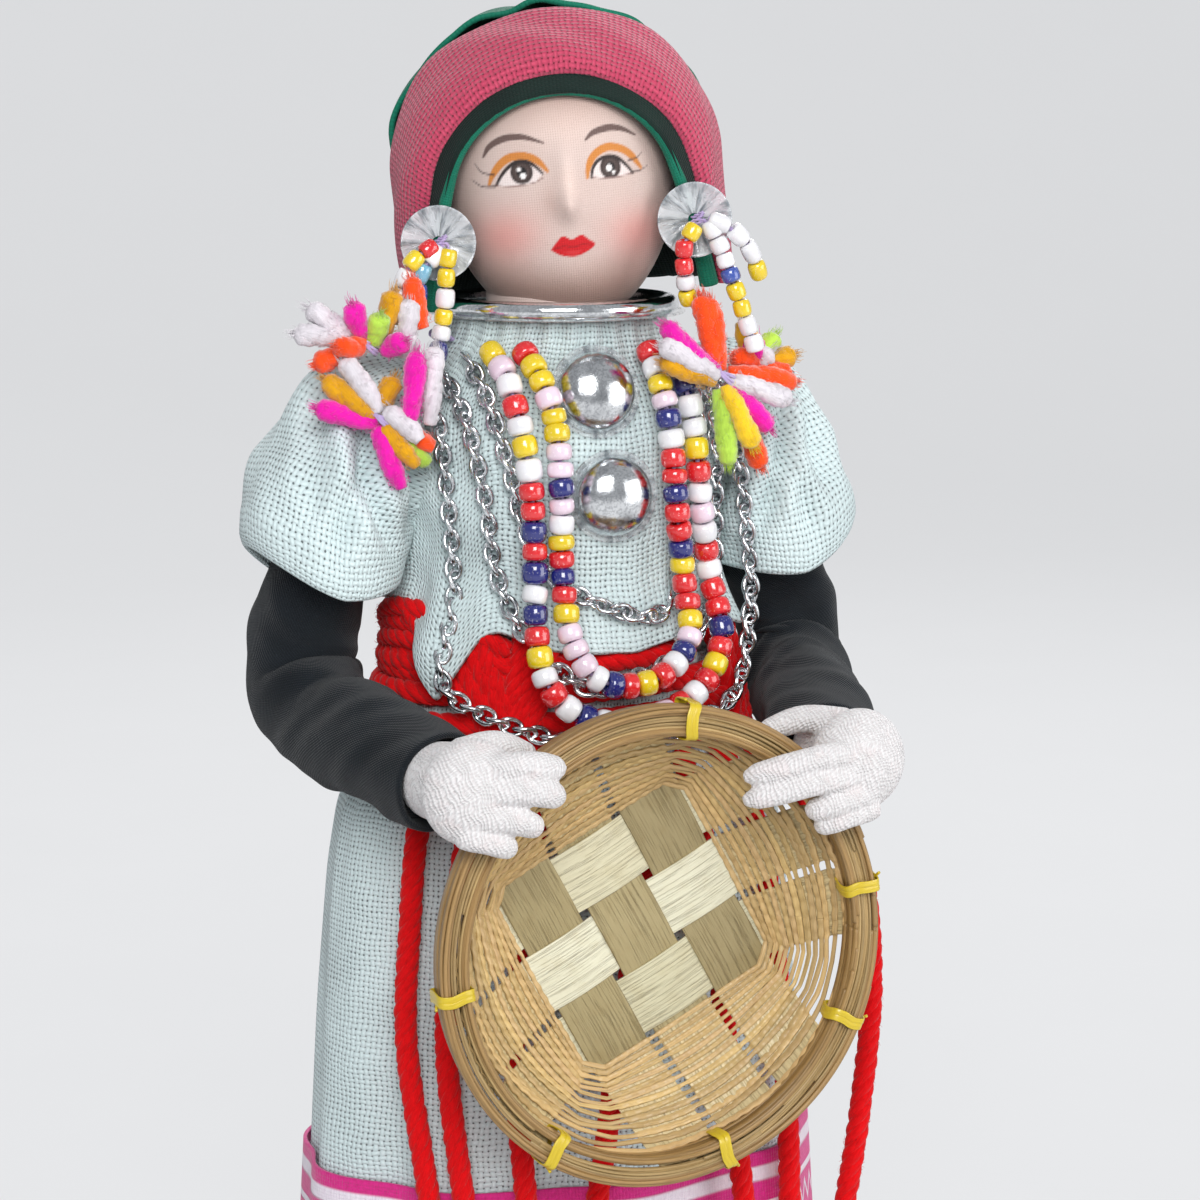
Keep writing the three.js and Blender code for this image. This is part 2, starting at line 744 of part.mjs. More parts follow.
function sash() {
  const stepsPerTurn = 24;
  const steps = sashTurns * stepsPerTurn;
  const points = Array.from({ length: steps + 1 }, (_, i) => sashPoint(i / stepsPerTurn));
  let least = Infinity;
  points.forEach((a, i) => points.forEach((b, j) => {
    if (j - i > stepsPerTurn / 2) {
      least = Math.min(least, new THREE.Vector3(...a).distanceTo(new THREE.Vector3(...b)) - yarnDiameter);
    }
  }));
  console.log(`sash winding, least gap between turns ${least.toFixed(2)} mm`);
  const curve = curveThrough(points);
  const yarn = sweep(curve, steps, () => circleSection(sashRadius, 6));
  return piece("sash_winding", yarn, colours.redYarn);
}

// Hanging yarn tails: rows of place across and height above the hem, from the sash down
const tailRoutes = [
  [[-21.5], [-25, 78.5], [-27, 73], [-28.5, 60], [-29.5, 44], [-28, 24], [-26.5, 8], [-26, -6]],
  [[-16.5], [-19, 78], [-21, 72], [-23, 60], [-24.5, 44], [-23.5, 24], [-21.5, 8], [-20.5, -9]],
  [[-9], [-10.6, 78], [-11.8, 72], [-13.5, 60], [-15.5, 44], [-15, 24], [-14, 8], [-14.5, -5]],
  [[6], [5.6, 78], [5, 72], [3, 60], [0, 44], [-4, 24], [-7, 8], [-7.5, -8]],
  [[12], [13, 78], [14, 72], [15.5, 60], [17, 44], [18.5, 24], [20, 8], [20, -7]],
  [[19], [21.6, 78], [24, 72], [26.5, 60], [28, 44], [28.5, 24], [28.5, 8], [29.5, -4]],
];

// The outermost tail stands off the skirt: rows of x, y and height above the hem
const looseTail = [
  [29.6, -17.6, 77],
  [34.4, -18.5, 69.5],
  [41.5, -18, 62],
  [43, -20, 46],
  [40.5, -21.5, 24],
  [38, -21.5, 8],
  [37, -21, -8],
];
const looseTailStart = 25;

function tailStart(x) {
  const z = sashBottomZ - sashRadius - gap;
  return [x, frontOf(sashCentre(z - 2 * gap), x, 0), z];
}

function tailCurve([[startX], ...rest]) {
  const points = rest.map(([x, height]) => {
    const depth = foldDepth * (1 - Math.max(height, 0) / skirtLength);
    const overBand = height < bandHeight + tailSettle ? gap + bandCloth : 0;
    const lift = depth + gap + tailEase + overBand + yarnDiameter / 2;
    return [x, frontOf(formAt(skirtRows, height), x, lift), hemZ + height];
  });
  return curveThrough([tailStart(startX), ...points]);
}

function tails() {
  const group = new THREE.Group();
  const add = (curve, number) => {
    const steps = Math.max(8, Math.round(curve.getLength() / (yarnDiameter * tailStep)));
    group.add(piece(`sash_tail_${number}`, cord(curve, yarnDiameter / 2, 8, steps), colours.redYarn));
  };
  tailRoutes.forEach((route, i) => add(tailCurve(route), i + 1));
  const loose = looseTail.map(([x, y, height]) => [x, y, hemZ + height]);
  add(curveThrough([tailStart(looseTailStart), ...loose]), tailRoutes.length + 1);
  return group;
}

// Neck post, and the ring with its clear flange that rests on the collar
function neckPost() {
  const top = collarZ + headAboveCollar;
  const post = bar([0, 0, torsoTopZ + gap], [0, 0, top], neckRadius, 12);
  const wire = bar([0, 0, torsoTopZ - 1], [0, 0, top], spineWireDiameter / 2 + gap);
  const headRoom = skull(gap).applyMatrix4(headFrame().matrixWorld);
  return piece("neck_post", cut(post, wire, headRoom), colours.skinCloth);
}

function spineWire() {
  const bottom = torsoTopZ - spineWireInTorso;
  const top = collarZ + headAboveCollar - headRadii[2] + spineWireInHead;
  return piece("spine_wire", bar([0, 0, bottom], [0, 0, top], spineWireDiameter / 2), colours.steel);
}

function neckRing() {
  const outline = Array.from({ length: 7 }, (_, i) => {
    const angle = radians(-60 + 48 * i);
    return new THREE.Vector2(ringRadius + ringTube * Math.cos(angle), ringTube * Math.sin(angle));
  });
  const flangeTop = -ringTube + sheetThickness;
  outline.push(new THREE.Vector2(ringRadius, -ringTube));
  outline.push(new THREE.Vector2(ringRadius + ringFlange, -ringTube));
  outline.push(new THREE.Vector2(ringRadius + ringFlange, flangeTop));
  outline.splice(0, 1, new THREE.Vector2(ringRadius + ringTube, flangeTop));
  outline.push(outline[0].clone());
  const ring = piece("neck_ring", new THREE.LatheGeometry(outline, 20), colours.silver);
  ring.rotation.x = Math.PI / 2;
  ring.position.z = collarZ + gap + ringTube;
  return ring;
}

// Domed stud of pressed sheet, resting on the chest and leaning with it
function dome(name, x, drop) {
  const profile = [
    [0, 0],
    [domeFlangeRadius, 0],
    [domeFlangeRadius, sheetThickness],
    [domeRadius, sheetThickness],
  ].map((point) => new THREE.Vector2(...point));
  [30, 60].forEach((degrees) => {
    const angle = radians(degrees);
    const height = sheetThickness + (domeHeight - sheetThickness) * Math.sin(angle);
    profile.push(new THREE.Vector2(domeRadius * Math.cos(angle), height));
  });
  profile.push(new THREE.Vector2(0, domeHeight));
  const above = onChest(x, drop - domeFlangeRadius, gap);
  const below = onChest(x, drop + domeFlangeRadius, gap);
  const middle = onChest(x, drop, gap);
  const lean = Math.atan2(above[1] - below[1], above[2] - below[2]);
  const bulge = Math.max(0, (above[1] + below[1]) / 2 - middle[1]);
  const stud = piece(name, new THREE.LatheGeometry(profile, 16), colours.silver);
  stud.position.set(x, (above[1] + below[1]) / 2 - bulge, middle[2]);
  stud.rotation.x = Math.PI - lean;
  return stud;
}

// Head and hood, in the head's own frame with its centre at the origin
function headFrame() {
  const group = new THREE.Group();
  group.position.set(0, 0, collarZ + headAboveCollar);
  group.rotation.order = "ZYX";
  group.rotation.z = radians(headTurn);
  group.rotation.y = radians(headLean);
  group.updateMatrixWorld(true);
  return group;
}

function skull(grow) {
  return ellipsoid([0, 0, 0], headRadii.map((radius) => radius + grow), 16, 10);
}

function headShape() {
  const noseY = -headRadii[1] * frontShare;
  const nose = ellipsoid([0, noseY, -noseDrop], [noseWidth / 2, noseLength * 2, noseHeight / 2], 8, 6);
  const toHead = headFrame().matrixWorld.clone().invert();
  const top = collarZ + headAboveCollar - headRadii[2] + spineWireInHead + gap;
  const hole = bar([0, 0, collarZ - 5], [0, 0, top], spineWireDiameter / 2 + gap).applyMatrix4(toHead);
  return cut(join(skull(0), nose), hole);
}

// Dome that hangs straight at the sides, grown off the head
function hoodDome(grow, bottom) {
  const profile = [new THREE.Vector2(0, bottom)];
  profile.push(new THREE.Vector2(1, bottom));
  [0, 20, 40, 58, 74].forEach((degrees) => {
    profile.push(new THREE.Vector2(Math.cos(radians(degrees)), Math.sin(radians(degrees)) * 100));
  });
  profile.push(new THREE.Vector2(0, 100));
  const widthX = headRadii[0] + hoodSideRoom + grow;
  const widthY = headRadii[1] + hoodEase + grow;
  const height = headRadii[2] + hoodEase + grow;
  const scaled = profile.map(({ x, y }) => new THREE.Vector2(x, y > 0 ? (y * height) / 100 : y));
  return new THREE.LatheGeometry(scaled, 18).rotateX(Math.PI / 2).scale(widthX, widthY, 1);
}

// Half space in front of, or behind, the slanted face opening
function slantedBlock(from, to) {
  const size = 120;
  return block([size, to - from, size], [0, (from + to) / 2, 0]).rotateX(radians(hoodSlant));
}

function hoodShell(inside, outside, from, to) {
  const outer = hoodDome(outside, -hoodDrop);
  const inner = hoodDome(inside, -hoodDrop - 2);
  return common(cut(outer, inner), slantedBlock(from, to));
}

function head() {
  const group = headFrame();
  group.add(piece("head", headShape(), colours.skinCloth));
  const inLayer = liningCloth + gap;
  const farBack = 60;
  const lining = hoodShell(0, liningCloth, -hoodEdge - liningReveal, farBack);
  const band = hoodShell(inLayer, inLayer + hoodBandCloth, -hoodEdge, -hoodEdge + hoodBandWidth);
  const cap = hoodShell(inLayer, inLayer + hoodCapCloth, -hoodEdge + hoodBandWidth + gap, farBack);
  group.add(piece("hood_lining", lining, colours.darkGreen));
  group.add(piece("hood_band", band, colours.crimson));
  group.add(piece("hood_cap", cap, colours.green));
  group.add(earDisc("right_ear_disc", -1));
  group.add(earDisc("left_ear_disc", 1));
  return group;
}

// Clear cupped disc with a small hole, open towards the front, resting on the lining's edge
function liningEdge(z) {
  const slant = radians(hoodSlant);
  return (hoodEdge + liningReveal + z * Math.sin(slant)) / Math.cos(slant);
}

const earDiscCup = earDiscDepth - sheetThickness;
const earDiscForward = liningEdge(earDiscRadius - earDiscDrop) + gap - earDiscCup;

function earDisc(name, side) {
  const profile = [
    [earDiscHole, 0],
    [earDiscRadius * 0.5, 0.15],
    [earDiscRadius, earDiscCup],
    [earDiscRadius, earDiscDepth],
    [earDiscRadius * 0.5, sheetThickness + 0.15],
    [earDiscHole, sheetThickness],
    [earDiscHole, 0],
  ].map((point) => new THREE.Vector2(...point));
  const disc = piece(name, new THREE.LatheGeometry(profile, 14), colours.clear);
  disc.position.set(side * earDiscSpread, -earDiscForward, -earDiscDrop);
  disc.rotation.x = Math.PI;
  return disc;
}

function earPlace(side) {
  const local = new THREE.Vector3(side * earDiscSpread, -earDiscForward - earDiscDepth, -earDiscDrop);
  return local.applyMatrix4(headFrame().matrixWorld);
}

// Strand of beads along a curve, narrow between one bead and the next
function beadStrand(curve, diameter, pitch, sides, perBead) {
  const beads = Math.max(2, Math.round(curve.getLength() / pitch));
  const radii = [threadDiameter / 2 + 0.4, ...Array(perBead - 1).fill(diameter / 2)];
  return sweep(curve, beads * perBead, (i) => circleSection(radii[i % perBead], sides));
}

// Ear strands: three that fall from the knot in front of the disc.
// Rows of place across, forwards and down from the knot, with the strand's lowest point last
const earStrands = {
  right: [
    [[-1, 0.6, 0], [-4.6, 0.8, -2.6], [-6.2, 0.2, -7], [-6.8, -1, -11]],
    [[0.8, 1, -0.6], [0.4, 1.2, -3], [0, 1.2, -9], [-1.4, 1.8, -16.4]],
    [[0, 0.4, -0.6], [-3.1, 0.4, -4], [-3.4, -0.4, -8.4]],
  ],
  left: [
    [[-0.6, 0.8, -0.6], [-2.4, 0.8, -3.4], [-2, 0, -8], [-1, -1, -12]],
    [[1, 1, 0], [2.6, 1.6, -3.6], [4.6, 2, -9], [7.8, 3, -18.6]],
    [[1, 1.2, 0.4], [4.6, 2.2, -1.6], [7.4, 1.6, -4.6], [9.4, 0.2, -8.4]],
  ],
};

function earBeads(name, key, side) {
  const knot = earPlace(side);
  const place = ([x, forward, z]) => [knot.x + x, knot.y - forward - earKnotForward, knot.z + z];
  const strands = earStrands[key].map((rows) => {
    return beadStrand(curveThrough(rows.map(place)), earBeadDiameter, earBeadPitch, 5, 2);
  });
  const tie = ellipsoid(place([0, -0.5, 0]), earKnotRadii, 8, 6);
  return piece(name, join(tie, ...strands), side < 0 ? colours.whiteBeads : colours.yellowBeads);
}

// Tassels of short yarn ends tied at the middle. A place is measured from the ear's knot:
// across, forwards and up. Each end is measured from the tassel's own middle the same way
const tuftRadius = 1.6;
const tasselTieRadius = 2.1;
const tassels = [
  {
    name: "right_tassel_upper",
    colour: colours.pinkYarn,
    at: ["right", -11.4, 2.6, -14.4],
    ends: [
      [-9.5, 0, 4.6], [-9, 1.5, -0.6], [-5.5, 1, -4.6],
      [8, 2, 3.4], [8.8, 0.5, -1], [0.5, 1, 5.6],
    ],
  },
  {
    name: "right_tassel_lower",
    colour: colours.orangeYarn,
    at: ["right", -6.4, 6.2, -26.6],
    ends: [
      [-10.5, -0.5, 4], [-10.5, 0.5, 0], [-3, 0.5, -9],
      [2, 0.4, -9.6], [5, 1, -5], [4.4, -2.2, 9],
    ],
  },
  {
    name: "left_tassel_upper",
    colour: colours.pinkYarn,
    at: ["left", 12.4, -1.4, -18.4],
    ends: [[-3.5, 0, 3.4], [4.5, 0, 2.6], [4, -2, -2.6], [-2.4, 2.2, 9.4]],
  },
  {
    name: "left_tassel_lower",
    colour: colours.orangeYarn,
    at: ["left", 6.4, 4.4, -23],
    ends: [
      [-12, -1.2, 5], [-5.6, 0.5, 10.4], [8, 0.5, -1.8],
      [4.6, 0.8, -8.4], [-1.4, 0.4, -11.6], [2.6, -1, -11],
    ],
  },
];

function tassel({ name, colour, at, ends }) {
  const [key, x, forward, z] = at;
  const knot = earPlace(key === "right" ? -1 : 1);
  const centre = [knot.x + x, knot.y - forward, knot.z + z];
  const tie = ellipsoid(centre, Array(3).fill(tasselTieRadius), 6, 4);
  const tufts = ends.map(([across, out, up]) => bar(
    centre,
    [centre[0] + across, centre[1] - out, centre[2] + up],
    tuftRadius,
    5,
  ));
  return piece(name, join(tie, ...tufts), colour);
}

// Necklaces: rows of place across and drop below the collar's top, from right to left
const innerBeadRoute = [
  [-10.2, 3.4], [-8.8, 7.4], [-7.6, 13], [-7.2, 22], [-7, 34], [-6.4, 44], [-3.6, 48.8], [1, 50.2],
  [6.4, 49.2], [11.4, 44.6], [11.8, 36], [10.4, 26], [9.6, 14], [8.8, 8], [8.4, 3.4],
];
const outerBeadRoute = [
  [-14.2, 3.4], [-13.2, 7.4], [-12.6, 12], [-11.5, 20], [-10.9, 30], [-11.2, 42], [-10.4, 49.6],
  [-6.4, 53.8], [0.4, 55.6], [8, 54.2], [13.8, 50.8], [17.2, 45], [16.6, 36], [14.6, 25],
  [13.8, 14], [13, 8], [12.6, 3.4],
];

function beadLoop(name, route, colour) {
  const overChains = 2 * gap + chainWidth + beadDiameter / 2;
  const top = route[0][1];
  const liftAt = (drop) => (drop > top ? overChains : beadDiameter / 2 + gap);
  const points = route.map(([x, drop]) => onChest(x, drop, liftAt(drop)));
  return piece(name, beadStrand(curveThrough(points), beadDiameter, beadPitch, 6, 2), colour);
}

// Thread of the necklaces behind the neck
function necklaceThread() {
  const out = threadDiameter / 2 + 3 * gap;
  const points = Array.from({ length: 13 }, (_, i) => {
    const angle = radians(-18 + (216 * i) / 12);
    return [
      (collarRadiusX + collarSpread + out) * Math.cos(angle),
      (collarRadiusY + out) * Math.sin(angle),
      collarZ - threadDrop,
    ];
  });
  return piece("necklace_thread", cord(curveThrough(points), threadDiameter / 2, 6, 12), colours.redBeads);
}

// Chains: the same rows, with a third value where a chain hangs clear of a sleeve
const chainRoutes = [
  [
    [-16.4, 5.6], [-15, 11], [-13, 20], [-10.6, 29.6], [-6, 36.4], [0.3, 40],
    [8.2, 41.6], [14, 36], [16.6, 26], [16.6, 14], [16, 5.6],
  ],
  [
    [-19.4, 8], [-18.2, 13], [-16.2, 24], [-14.4, 36], [-11, 44.6], [-3, 51.2],
    [4, 50], [11.5, 47], [18.6, 40], [20, 28], [19.8, 14], [18.8, 8],
  ],
  [
    [-21.6, 9.6], [-21.4, 14], [-20.6, 26], [-20, 38], [-22.6, 50.6], [-17, 55], [-8, 58.2],
    [2, 60], [14, 57.6], [22, 54], [24.6, 42, 15.5], [24.2, 28, 14], [23, 16, 12], [21.6, 9.6, 9],
  ],
];

function chain(name, route) {
  const lift = gap + chainWidth / 2;
  const curve = curveThrough(route.map(([x, drop, forward]) => onChest(x, drop, lift, forward)));
  const links = Math.round(curve.getLength() / chainLink);
  const strip = sweep(curve, links, (i) => {
    const turn = (Math.PI / 3) * i;
    return [[1, 1], [-1, 1], [-1, -1], [1, -1]].map(([a, b]) => {
      const across = (a * chainWidth) / 2.4;
      const up = (b * chainThickness) / 2;
      return [across * Math.cos(turn) - up * Math.sin(turn), across * Math.sin(turn) + up * Math.cos(turn)];
    });
  });
  return piece(name, strip, colours.silver);
}

// Arms
function sleeve(name, arm) {
  const { shoulderX, sleeveX, cuffX, side } = arm;
  const cuffZ = elbowZ + cuffAboveElbow;
  const outside = limb([
    [shoulderX, 0, shoulderZ + 1, 9],
    [sleeveX, -1.5, shoulderZ - 7, 11],
    [cuffX, -3, cuffZ + 7, sleeveCuffRadius],
    [cuffX + side * 0.4, -3.4, cuffZ - 4, sleeveCuffRadius],
  ], 12, [true, false]);
  const inside = limb(upperArmStations(arm, gap), 10, [true, false]);
  const slant = -side * radians(cuffSlant);
  const below = block([60, 60, 30], [0, 0, -15]).rotateY(slant).translate(cuffX, 0, cuffZ);
  return piece(name, cut(outside, inside, bodyRoom(), below, shoulderWireTube(gap)), colours.whiteCloth);
}

// Room that the dressed body takes
function bodyRoom() {
  return loft(bodiceForm.map(([height, ...radii]) => {
    return ellipseRing(waistZ + height, ...radii.map((radius) => radius + gap), bodiceSides);
  }));
}

function upperArm(name, arm) {
  const whole = limb(upperArmStations(arm), 10, [true, false]);
  const forearmRoom = swept(limb(forearmStations(arm, 2 * gap), 10), elbowPivot, elbowBend, 1);
  return piece(name, cut(whole, forearmRoom, bodyRoom(), shoulderWireTube(gap)), colours.blackCloth);
}

function forearm(name, arm) {
  const whole = limb(forearmStations(arm), 10, [true, false]);
  const wire = forearmWireTube(arm, gap);
  return piece(name, cut(whole, wire, trayRoom()), colours.blackCloth);
}

function forearmWire(name, arm) {
  return piece(name, forearmWireTube(arm, 0), colours.steel);
}

// Fingers lie inside the bowl and the thumb behind the rim. Rows are places from the grip,
// across towards the middle of the tray, forwards and up
const fingers = {
  right: {
    front: [
      [[-1, 5, 5.6], [8.8, 3.6, 5]],
      [[-1, 5.4, 2.6], [8.4, 4, 1.2]],
      [[-2, 5, -0.6], [5, 3.8, -2.8]],
      [[-3.6, 4.6, -3.2], [1.4, 3.6, -5.4]],
    ],
    thumb: [[-1, -2, 7.6], [8, -4.8, 4.4]],
  },
  left: {
    front: [
      [[-0.4, 5.2, 4], [14.4, 3.6, 1.6]],
      [[-0.4, 5.4, 0.8], [14.4, 3.4, -1.6]],
      [[-2, 5, -2], [5, 4.4, -3.8]],
      [[-3.6, 4.6, -4.2], [3.4, 3.8, -6.2]],
    ],
    thumb: [[-1, -2, 7.4], [8.6, -4.8, 5.4]],
  },
};

function hand(name, arm, key) {
  const [gripX, gripY, gripHeight] = gripOf(arm.side);
  const place = ([across, forward, up]) => [gripX - arm.side * across, gripY - forward, gripHeight + up];
  const finger = ([from, to]) => limb(
    [[...place(from), fingerRadius * fingerTaper], [...place(to), fingerRadius / fingerTaper]],
    6,
    [false, true],
  );
  const palm = ellipsoid(palmOf(arm.side), palmRadii, 10, 7);
  const wristRow = (place) => [...place(arm.side), wristRadius];
  const wrist = limb([wristRow(palmOf), wristRow(wristOf)], 8, [false, false]);
  const digits = [...fingers[key].front, fingers[key].thumb].map(finger);
  const wire = forearmWireTube(arm, gap);
  const sleeveRoom = limb(forearmStations(arm, gap), 10, [true, false]);
  const shape = cut(join(palm, wrist, ...digits), trayRoom(), sleeveRoom, wire);
  return piece(name, shape, colours.handCloth);
}

const doll = new THREE.Group();
doll.name = "hill_tribe_doll";
doll.add(stand());
doll.add(leg("right_leg", -1), leg("left_leg", 1));
doll.add(legWire("right_leg_wire", -1), legWire("left_leg_wire", 1));
doll.add(torso(), bodice(), skirt(), hemBand(), sash(), tails());
doll.add(piece("shoulder_wire", shoulderWireTube(0), colours.steel));
doll.add(neckPost(), spineWire(), neckRing(), head());
doll.add(dome("upper_dome", 0, domeDrops[0]), dome("lower_dome", 1.8, domeDrops[1]));
doll.add(earBeads("right_ear_beads", "right", -1), earBeads("left_ear_beads", "left", 1));
tassels.forEach((entry) => doll.add(tassel(entry)));
doll.add(beadLoop("inner_bead_strand", innerBeadRoute, colours.redBeads));
doll.add(beadLoop("outer_bead_strand", outerBeadRoute, colours.whiteBeads));
doll.add(necklaceThread());
chainRoutes.forEach((route, i) => doll.add(chain(`chain_${i + 1}`, route)));
Object.entries(arms).forEach(([key, arm]) => {
  doll.add(sleeve(`${key}_sleeve`, arm), upperArm(`${key}_undersleeve`, arm));
  doll.add(forearm(`${key}_forearm`, arm), forearmWire(`${key}_forearm_wire`, arm));
  doll.add(hand(`${key}_hand`, arm, key));
});
doll.add(tray());

export default doll;
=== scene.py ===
import math
import bpy
import numpy as np
from mathutils import Matrix, Vector


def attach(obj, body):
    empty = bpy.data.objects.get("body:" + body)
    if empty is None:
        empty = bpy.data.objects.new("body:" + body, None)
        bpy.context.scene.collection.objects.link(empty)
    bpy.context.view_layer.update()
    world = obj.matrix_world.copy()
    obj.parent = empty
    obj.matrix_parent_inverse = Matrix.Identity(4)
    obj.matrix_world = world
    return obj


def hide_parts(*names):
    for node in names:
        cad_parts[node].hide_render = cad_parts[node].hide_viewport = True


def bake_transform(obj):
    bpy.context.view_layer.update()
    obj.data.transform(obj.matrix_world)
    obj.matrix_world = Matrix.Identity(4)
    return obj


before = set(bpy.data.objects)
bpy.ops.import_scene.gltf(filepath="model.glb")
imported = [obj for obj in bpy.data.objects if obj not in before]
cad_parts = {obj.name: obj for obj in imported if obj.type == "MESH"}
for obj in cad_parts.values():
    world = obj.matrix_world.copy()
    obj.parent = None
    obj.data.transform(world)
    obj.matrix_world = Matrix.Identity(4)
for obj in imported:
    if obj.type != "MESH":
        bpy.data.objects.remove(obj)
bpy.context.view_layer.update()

MM = 0.001
TURN = 2 * math.pi
rng = np.random.default_rng(11)

# Heights of the dress
HEM = 38.0
WAIST = 134.0
COLLAR = 183.0
GAP = 0.3


# Shader maths and materials

class Value:
    """A number that changes over a surface. Arithmetic on it adds Math nodes."""

    def __init__(self, paint, socket):
        self.paint = paint
        self.socket = socket

    def maths(self, operation, *others):
        inputs = dict(enumerate((self, *others)))
        return self.paint.node("ShaderNodeMath", {"operation": operation}, inputs)

    def __add__(self, other):
        return self.maths("ADD", other)

    def __sub__(self, other):
        return self.maths("SUBTRACT", other)

    def __rsub__(self, other):
        return (self * -1) + other

    def __mul__(self, other):
        return self.maths("MULTIPLY", other)

    def __truediv__(self, other):
        return self.maths("DIVIDE", other)

    def __pow__(self, other):
        return self.maths("POWER", other)

    def __abs__(self):
        return self.maths("ABSOLUTE")

    __radd__ = __add__
    __rmul__ = __mul__

    def floor(self):
        return self.maths("FLOOR")

    def fraction(self):
        return self.maths("FRACT")

    def sine(self):
        return self.maths("SINE")

    def cosine(self):
        return self.maths("COSINE")

    def most(self, other):
        return self.maths("MAXIMUM", other)

    def least(self, other):
        return self.maths("MINIMUM", other)

    def between(self, low=0.0, high=1.0):
        return self.most(low).least(high)

    def rise(self, start, end):
        """0 before start, 1 after end and smooth between them"""
        limits = {"Value": self, "From Min": start, "From Max": end}
        return self.paint.node("ShaderNodeMapRange", {"interpolation_type": "SMOOTHSTEP"}, limits)


class Paint:
    """One material: its nodes and the shader that takes them. Places on the cloth are in mm."""

    def __init__(self, name):
        self.material = bpy.data.materials.new(name)
        self.material.use_nodes = True
        self.tree = self.material.node_tree
        self.shader = self.tree.nodes["Principled BSDF"]

    def node(self, kind, settings=None, inputs=None, output=0):
        made = self.tree.nodes.new(kind)
        for key, value in (settings or {}).items():
            setattr(made, key, value)
        for key, value in (inputs or {}).items():
            self.feed(made.inputs[key], value)
        return Value(self, made.outputs[output])

    def feed(self, socket, value):
        if isinstance(value, Value):
            self.tree.links.new(value.socket, socket)
        else:
            socket.default_value = value

    def cloth(self):
        """Place along and across the cloth"""
        place = self.node("ShaderNodeUVMap", {"uv_map": "cloth"})
        return [self.node("ShaderNodeSeparateXYZ", None, {0: place}, output=i) for i in (0, 1)]

    def solid_place(self):
        """Place in the object, in mm"""
        place = self.node("ShaderNodeTexCoord", None, None, output=3)
        return self.node("ShaderNodeVectorMath", {"operation": "SCALE"}, {0: place, "Scale": 1000.0})

    def place(self, x, y, z=0.0):
        return self.node("ShaderNodeCombineXYZ", None, {0: x, 1: y, 2: z})

    def noise(self, where, scale, detail=2.0, roughness=0.5):
        inputs = {"Vector": where, "Scale": scale, "Detail": detail, "Roughness": roughness}
        return self.node("ShaderNodeTexNoise", None, inputs)

    def tint(self):
        return self.node("ShaderNodeAttribute", {"attribute_name": "tint"})

    def mix(self, factor, a, b, blend="MIX"):
        settings = {"data_type": "RGBA", "blend_type": blend}
        return self.node("ShaderNodeMix", settings, {0: factor, 6: a, 7: b}, output=2)

    def bump(self, height, depth, strength=1.0):
        """Relief from a height of 0 to 1, with its depth in mm"""
        inputs = {"Height": height, "Distance": depth * MM, "Strength": strength}
        return self.node("ShaderNodeBump", None, inputs)

    def finish(self, colour, roughness, relief=None, **constants):
        self.feed(self.shader.inputs["Base Color"], colour)
        self.feed(self.shader.inputs["Roughness"], roughness)
        if relief is not None:
            self.feed(self.shader.inputs["Normal"], relief)
        for name, value in constants.items():
            self.feed(self.shader.inputs[name.replace("_", " ")], value)
        return self.material


def rgb(red, green, blue):
    """Colour as seen on screen, 0 to 255, in the renderer's linear values"""
    shares = [value / 255 for value in (red, green, blue)]
    linear = [s / 12.92 if s <= 0.04045 else ((s + 0.055) / 1.055) ** 2.4 for s in shares]
    return (*linear, 1.0)


def plain_weave(u, v, pitch):
    """Height of the threads and the openness between them, each 0 to 1"""
    x = u / pitch
    y = v / pitch
    column = x.floor()
    row = y.floor()
    across = (x.fraction() * math.pi).sine()
    along = (y.fraction() * math.pi).sine()
    warp = across * (0.62 + 0.38 * ((y - 0.5 + column) * math.pi).cosine())
    weft = along * (0.62 - 0.38 * ((x - 0.5 + row) * math.pi).cosine())
    hole = (1 - across) * (1 - along)
    return warp.most(weft), hole


def gauze(name, pale, hollow, pitch, depth, openness, sheen=0.3):
    """Open plain weave of soft cotton thread, with painted shade in its holes and between its threads"""
    paint = Paint(name)
    u, v = paint.cloth()
    where = paint.place(u, v)
    drift = paint.noise(where, 0.16, 2.0)
    stray = paint.noise(where, 0.9, 2.0)
    slub = paint.noise(paint.place(u * 2.2, v * 0.25), 1.0, 2.0)
    threads, hole = plain_weave(u + drift * 1.6 + stray * 0.22, v + drift * 1.3 - stray * 0.2, pitch)
    low, high = openness
    worn = paint.noise(where, 0.1, 3.0) - 0.5
    gaps = (hole + (stray - 0.5) * 0.5 + (slub - 0.5) * 0.3 + worn * 0.6).rise(low, high)
    fibres = paint.noise(where, 7.0, 3.0, 0.7)
    # Painted shade: the holes and the gaps between threads take the dark hollow colour; the broad clouds
    # after them darken the cloth at random
    colour = paint.mix(gaps * 0.85, pale, hollow)
    colour = paint.mix((1 - threads) * 0.3, colour, hollow)
    colour = paint.mix((paint.noise(where, 0.05, 3.0) - 0.4).between() * 0.5, colour, hollow)
    height = threads * (1 - gaps * 0.9) + fibres * 0.35
    constants = {"Sheen_Weight": sheen, "Sheen_Roughness": 0.5, "Specular_IOR_Level": 0.2}
    return paint.finish(colour, 0.92, paint.bump(height, depth), **constants)


def smooth_cloth(name, colour, shade, pitch, depth, roughness=0.85, sheen=0.3, mottle=0.35):
    """Close weave that shows as fine threads and soft clouds of shade"""
    paint = Paint(name)
    u, v = paint.cloth()
    where = paint.place(u, v)
    threads, _ = plain_weave(u + paint.noise(where, 0.5) * 0.3, v, pitch)
    clouds = paint.noise(where, 0.12, 3.0)
    mixed = paint.mix(clouds * mottle, colour, shade)
    mixed = paint.mix((1 - threads) * 0.35, mixed, shade)
    height = threads + paint.noise(where, 5.0, 2.0) * 0.3
    return paint.finish(mixed, roughness, paint.bump(height, depth), Sheen_Weight=sheen,
        Specular_IOR_Level=0.25)


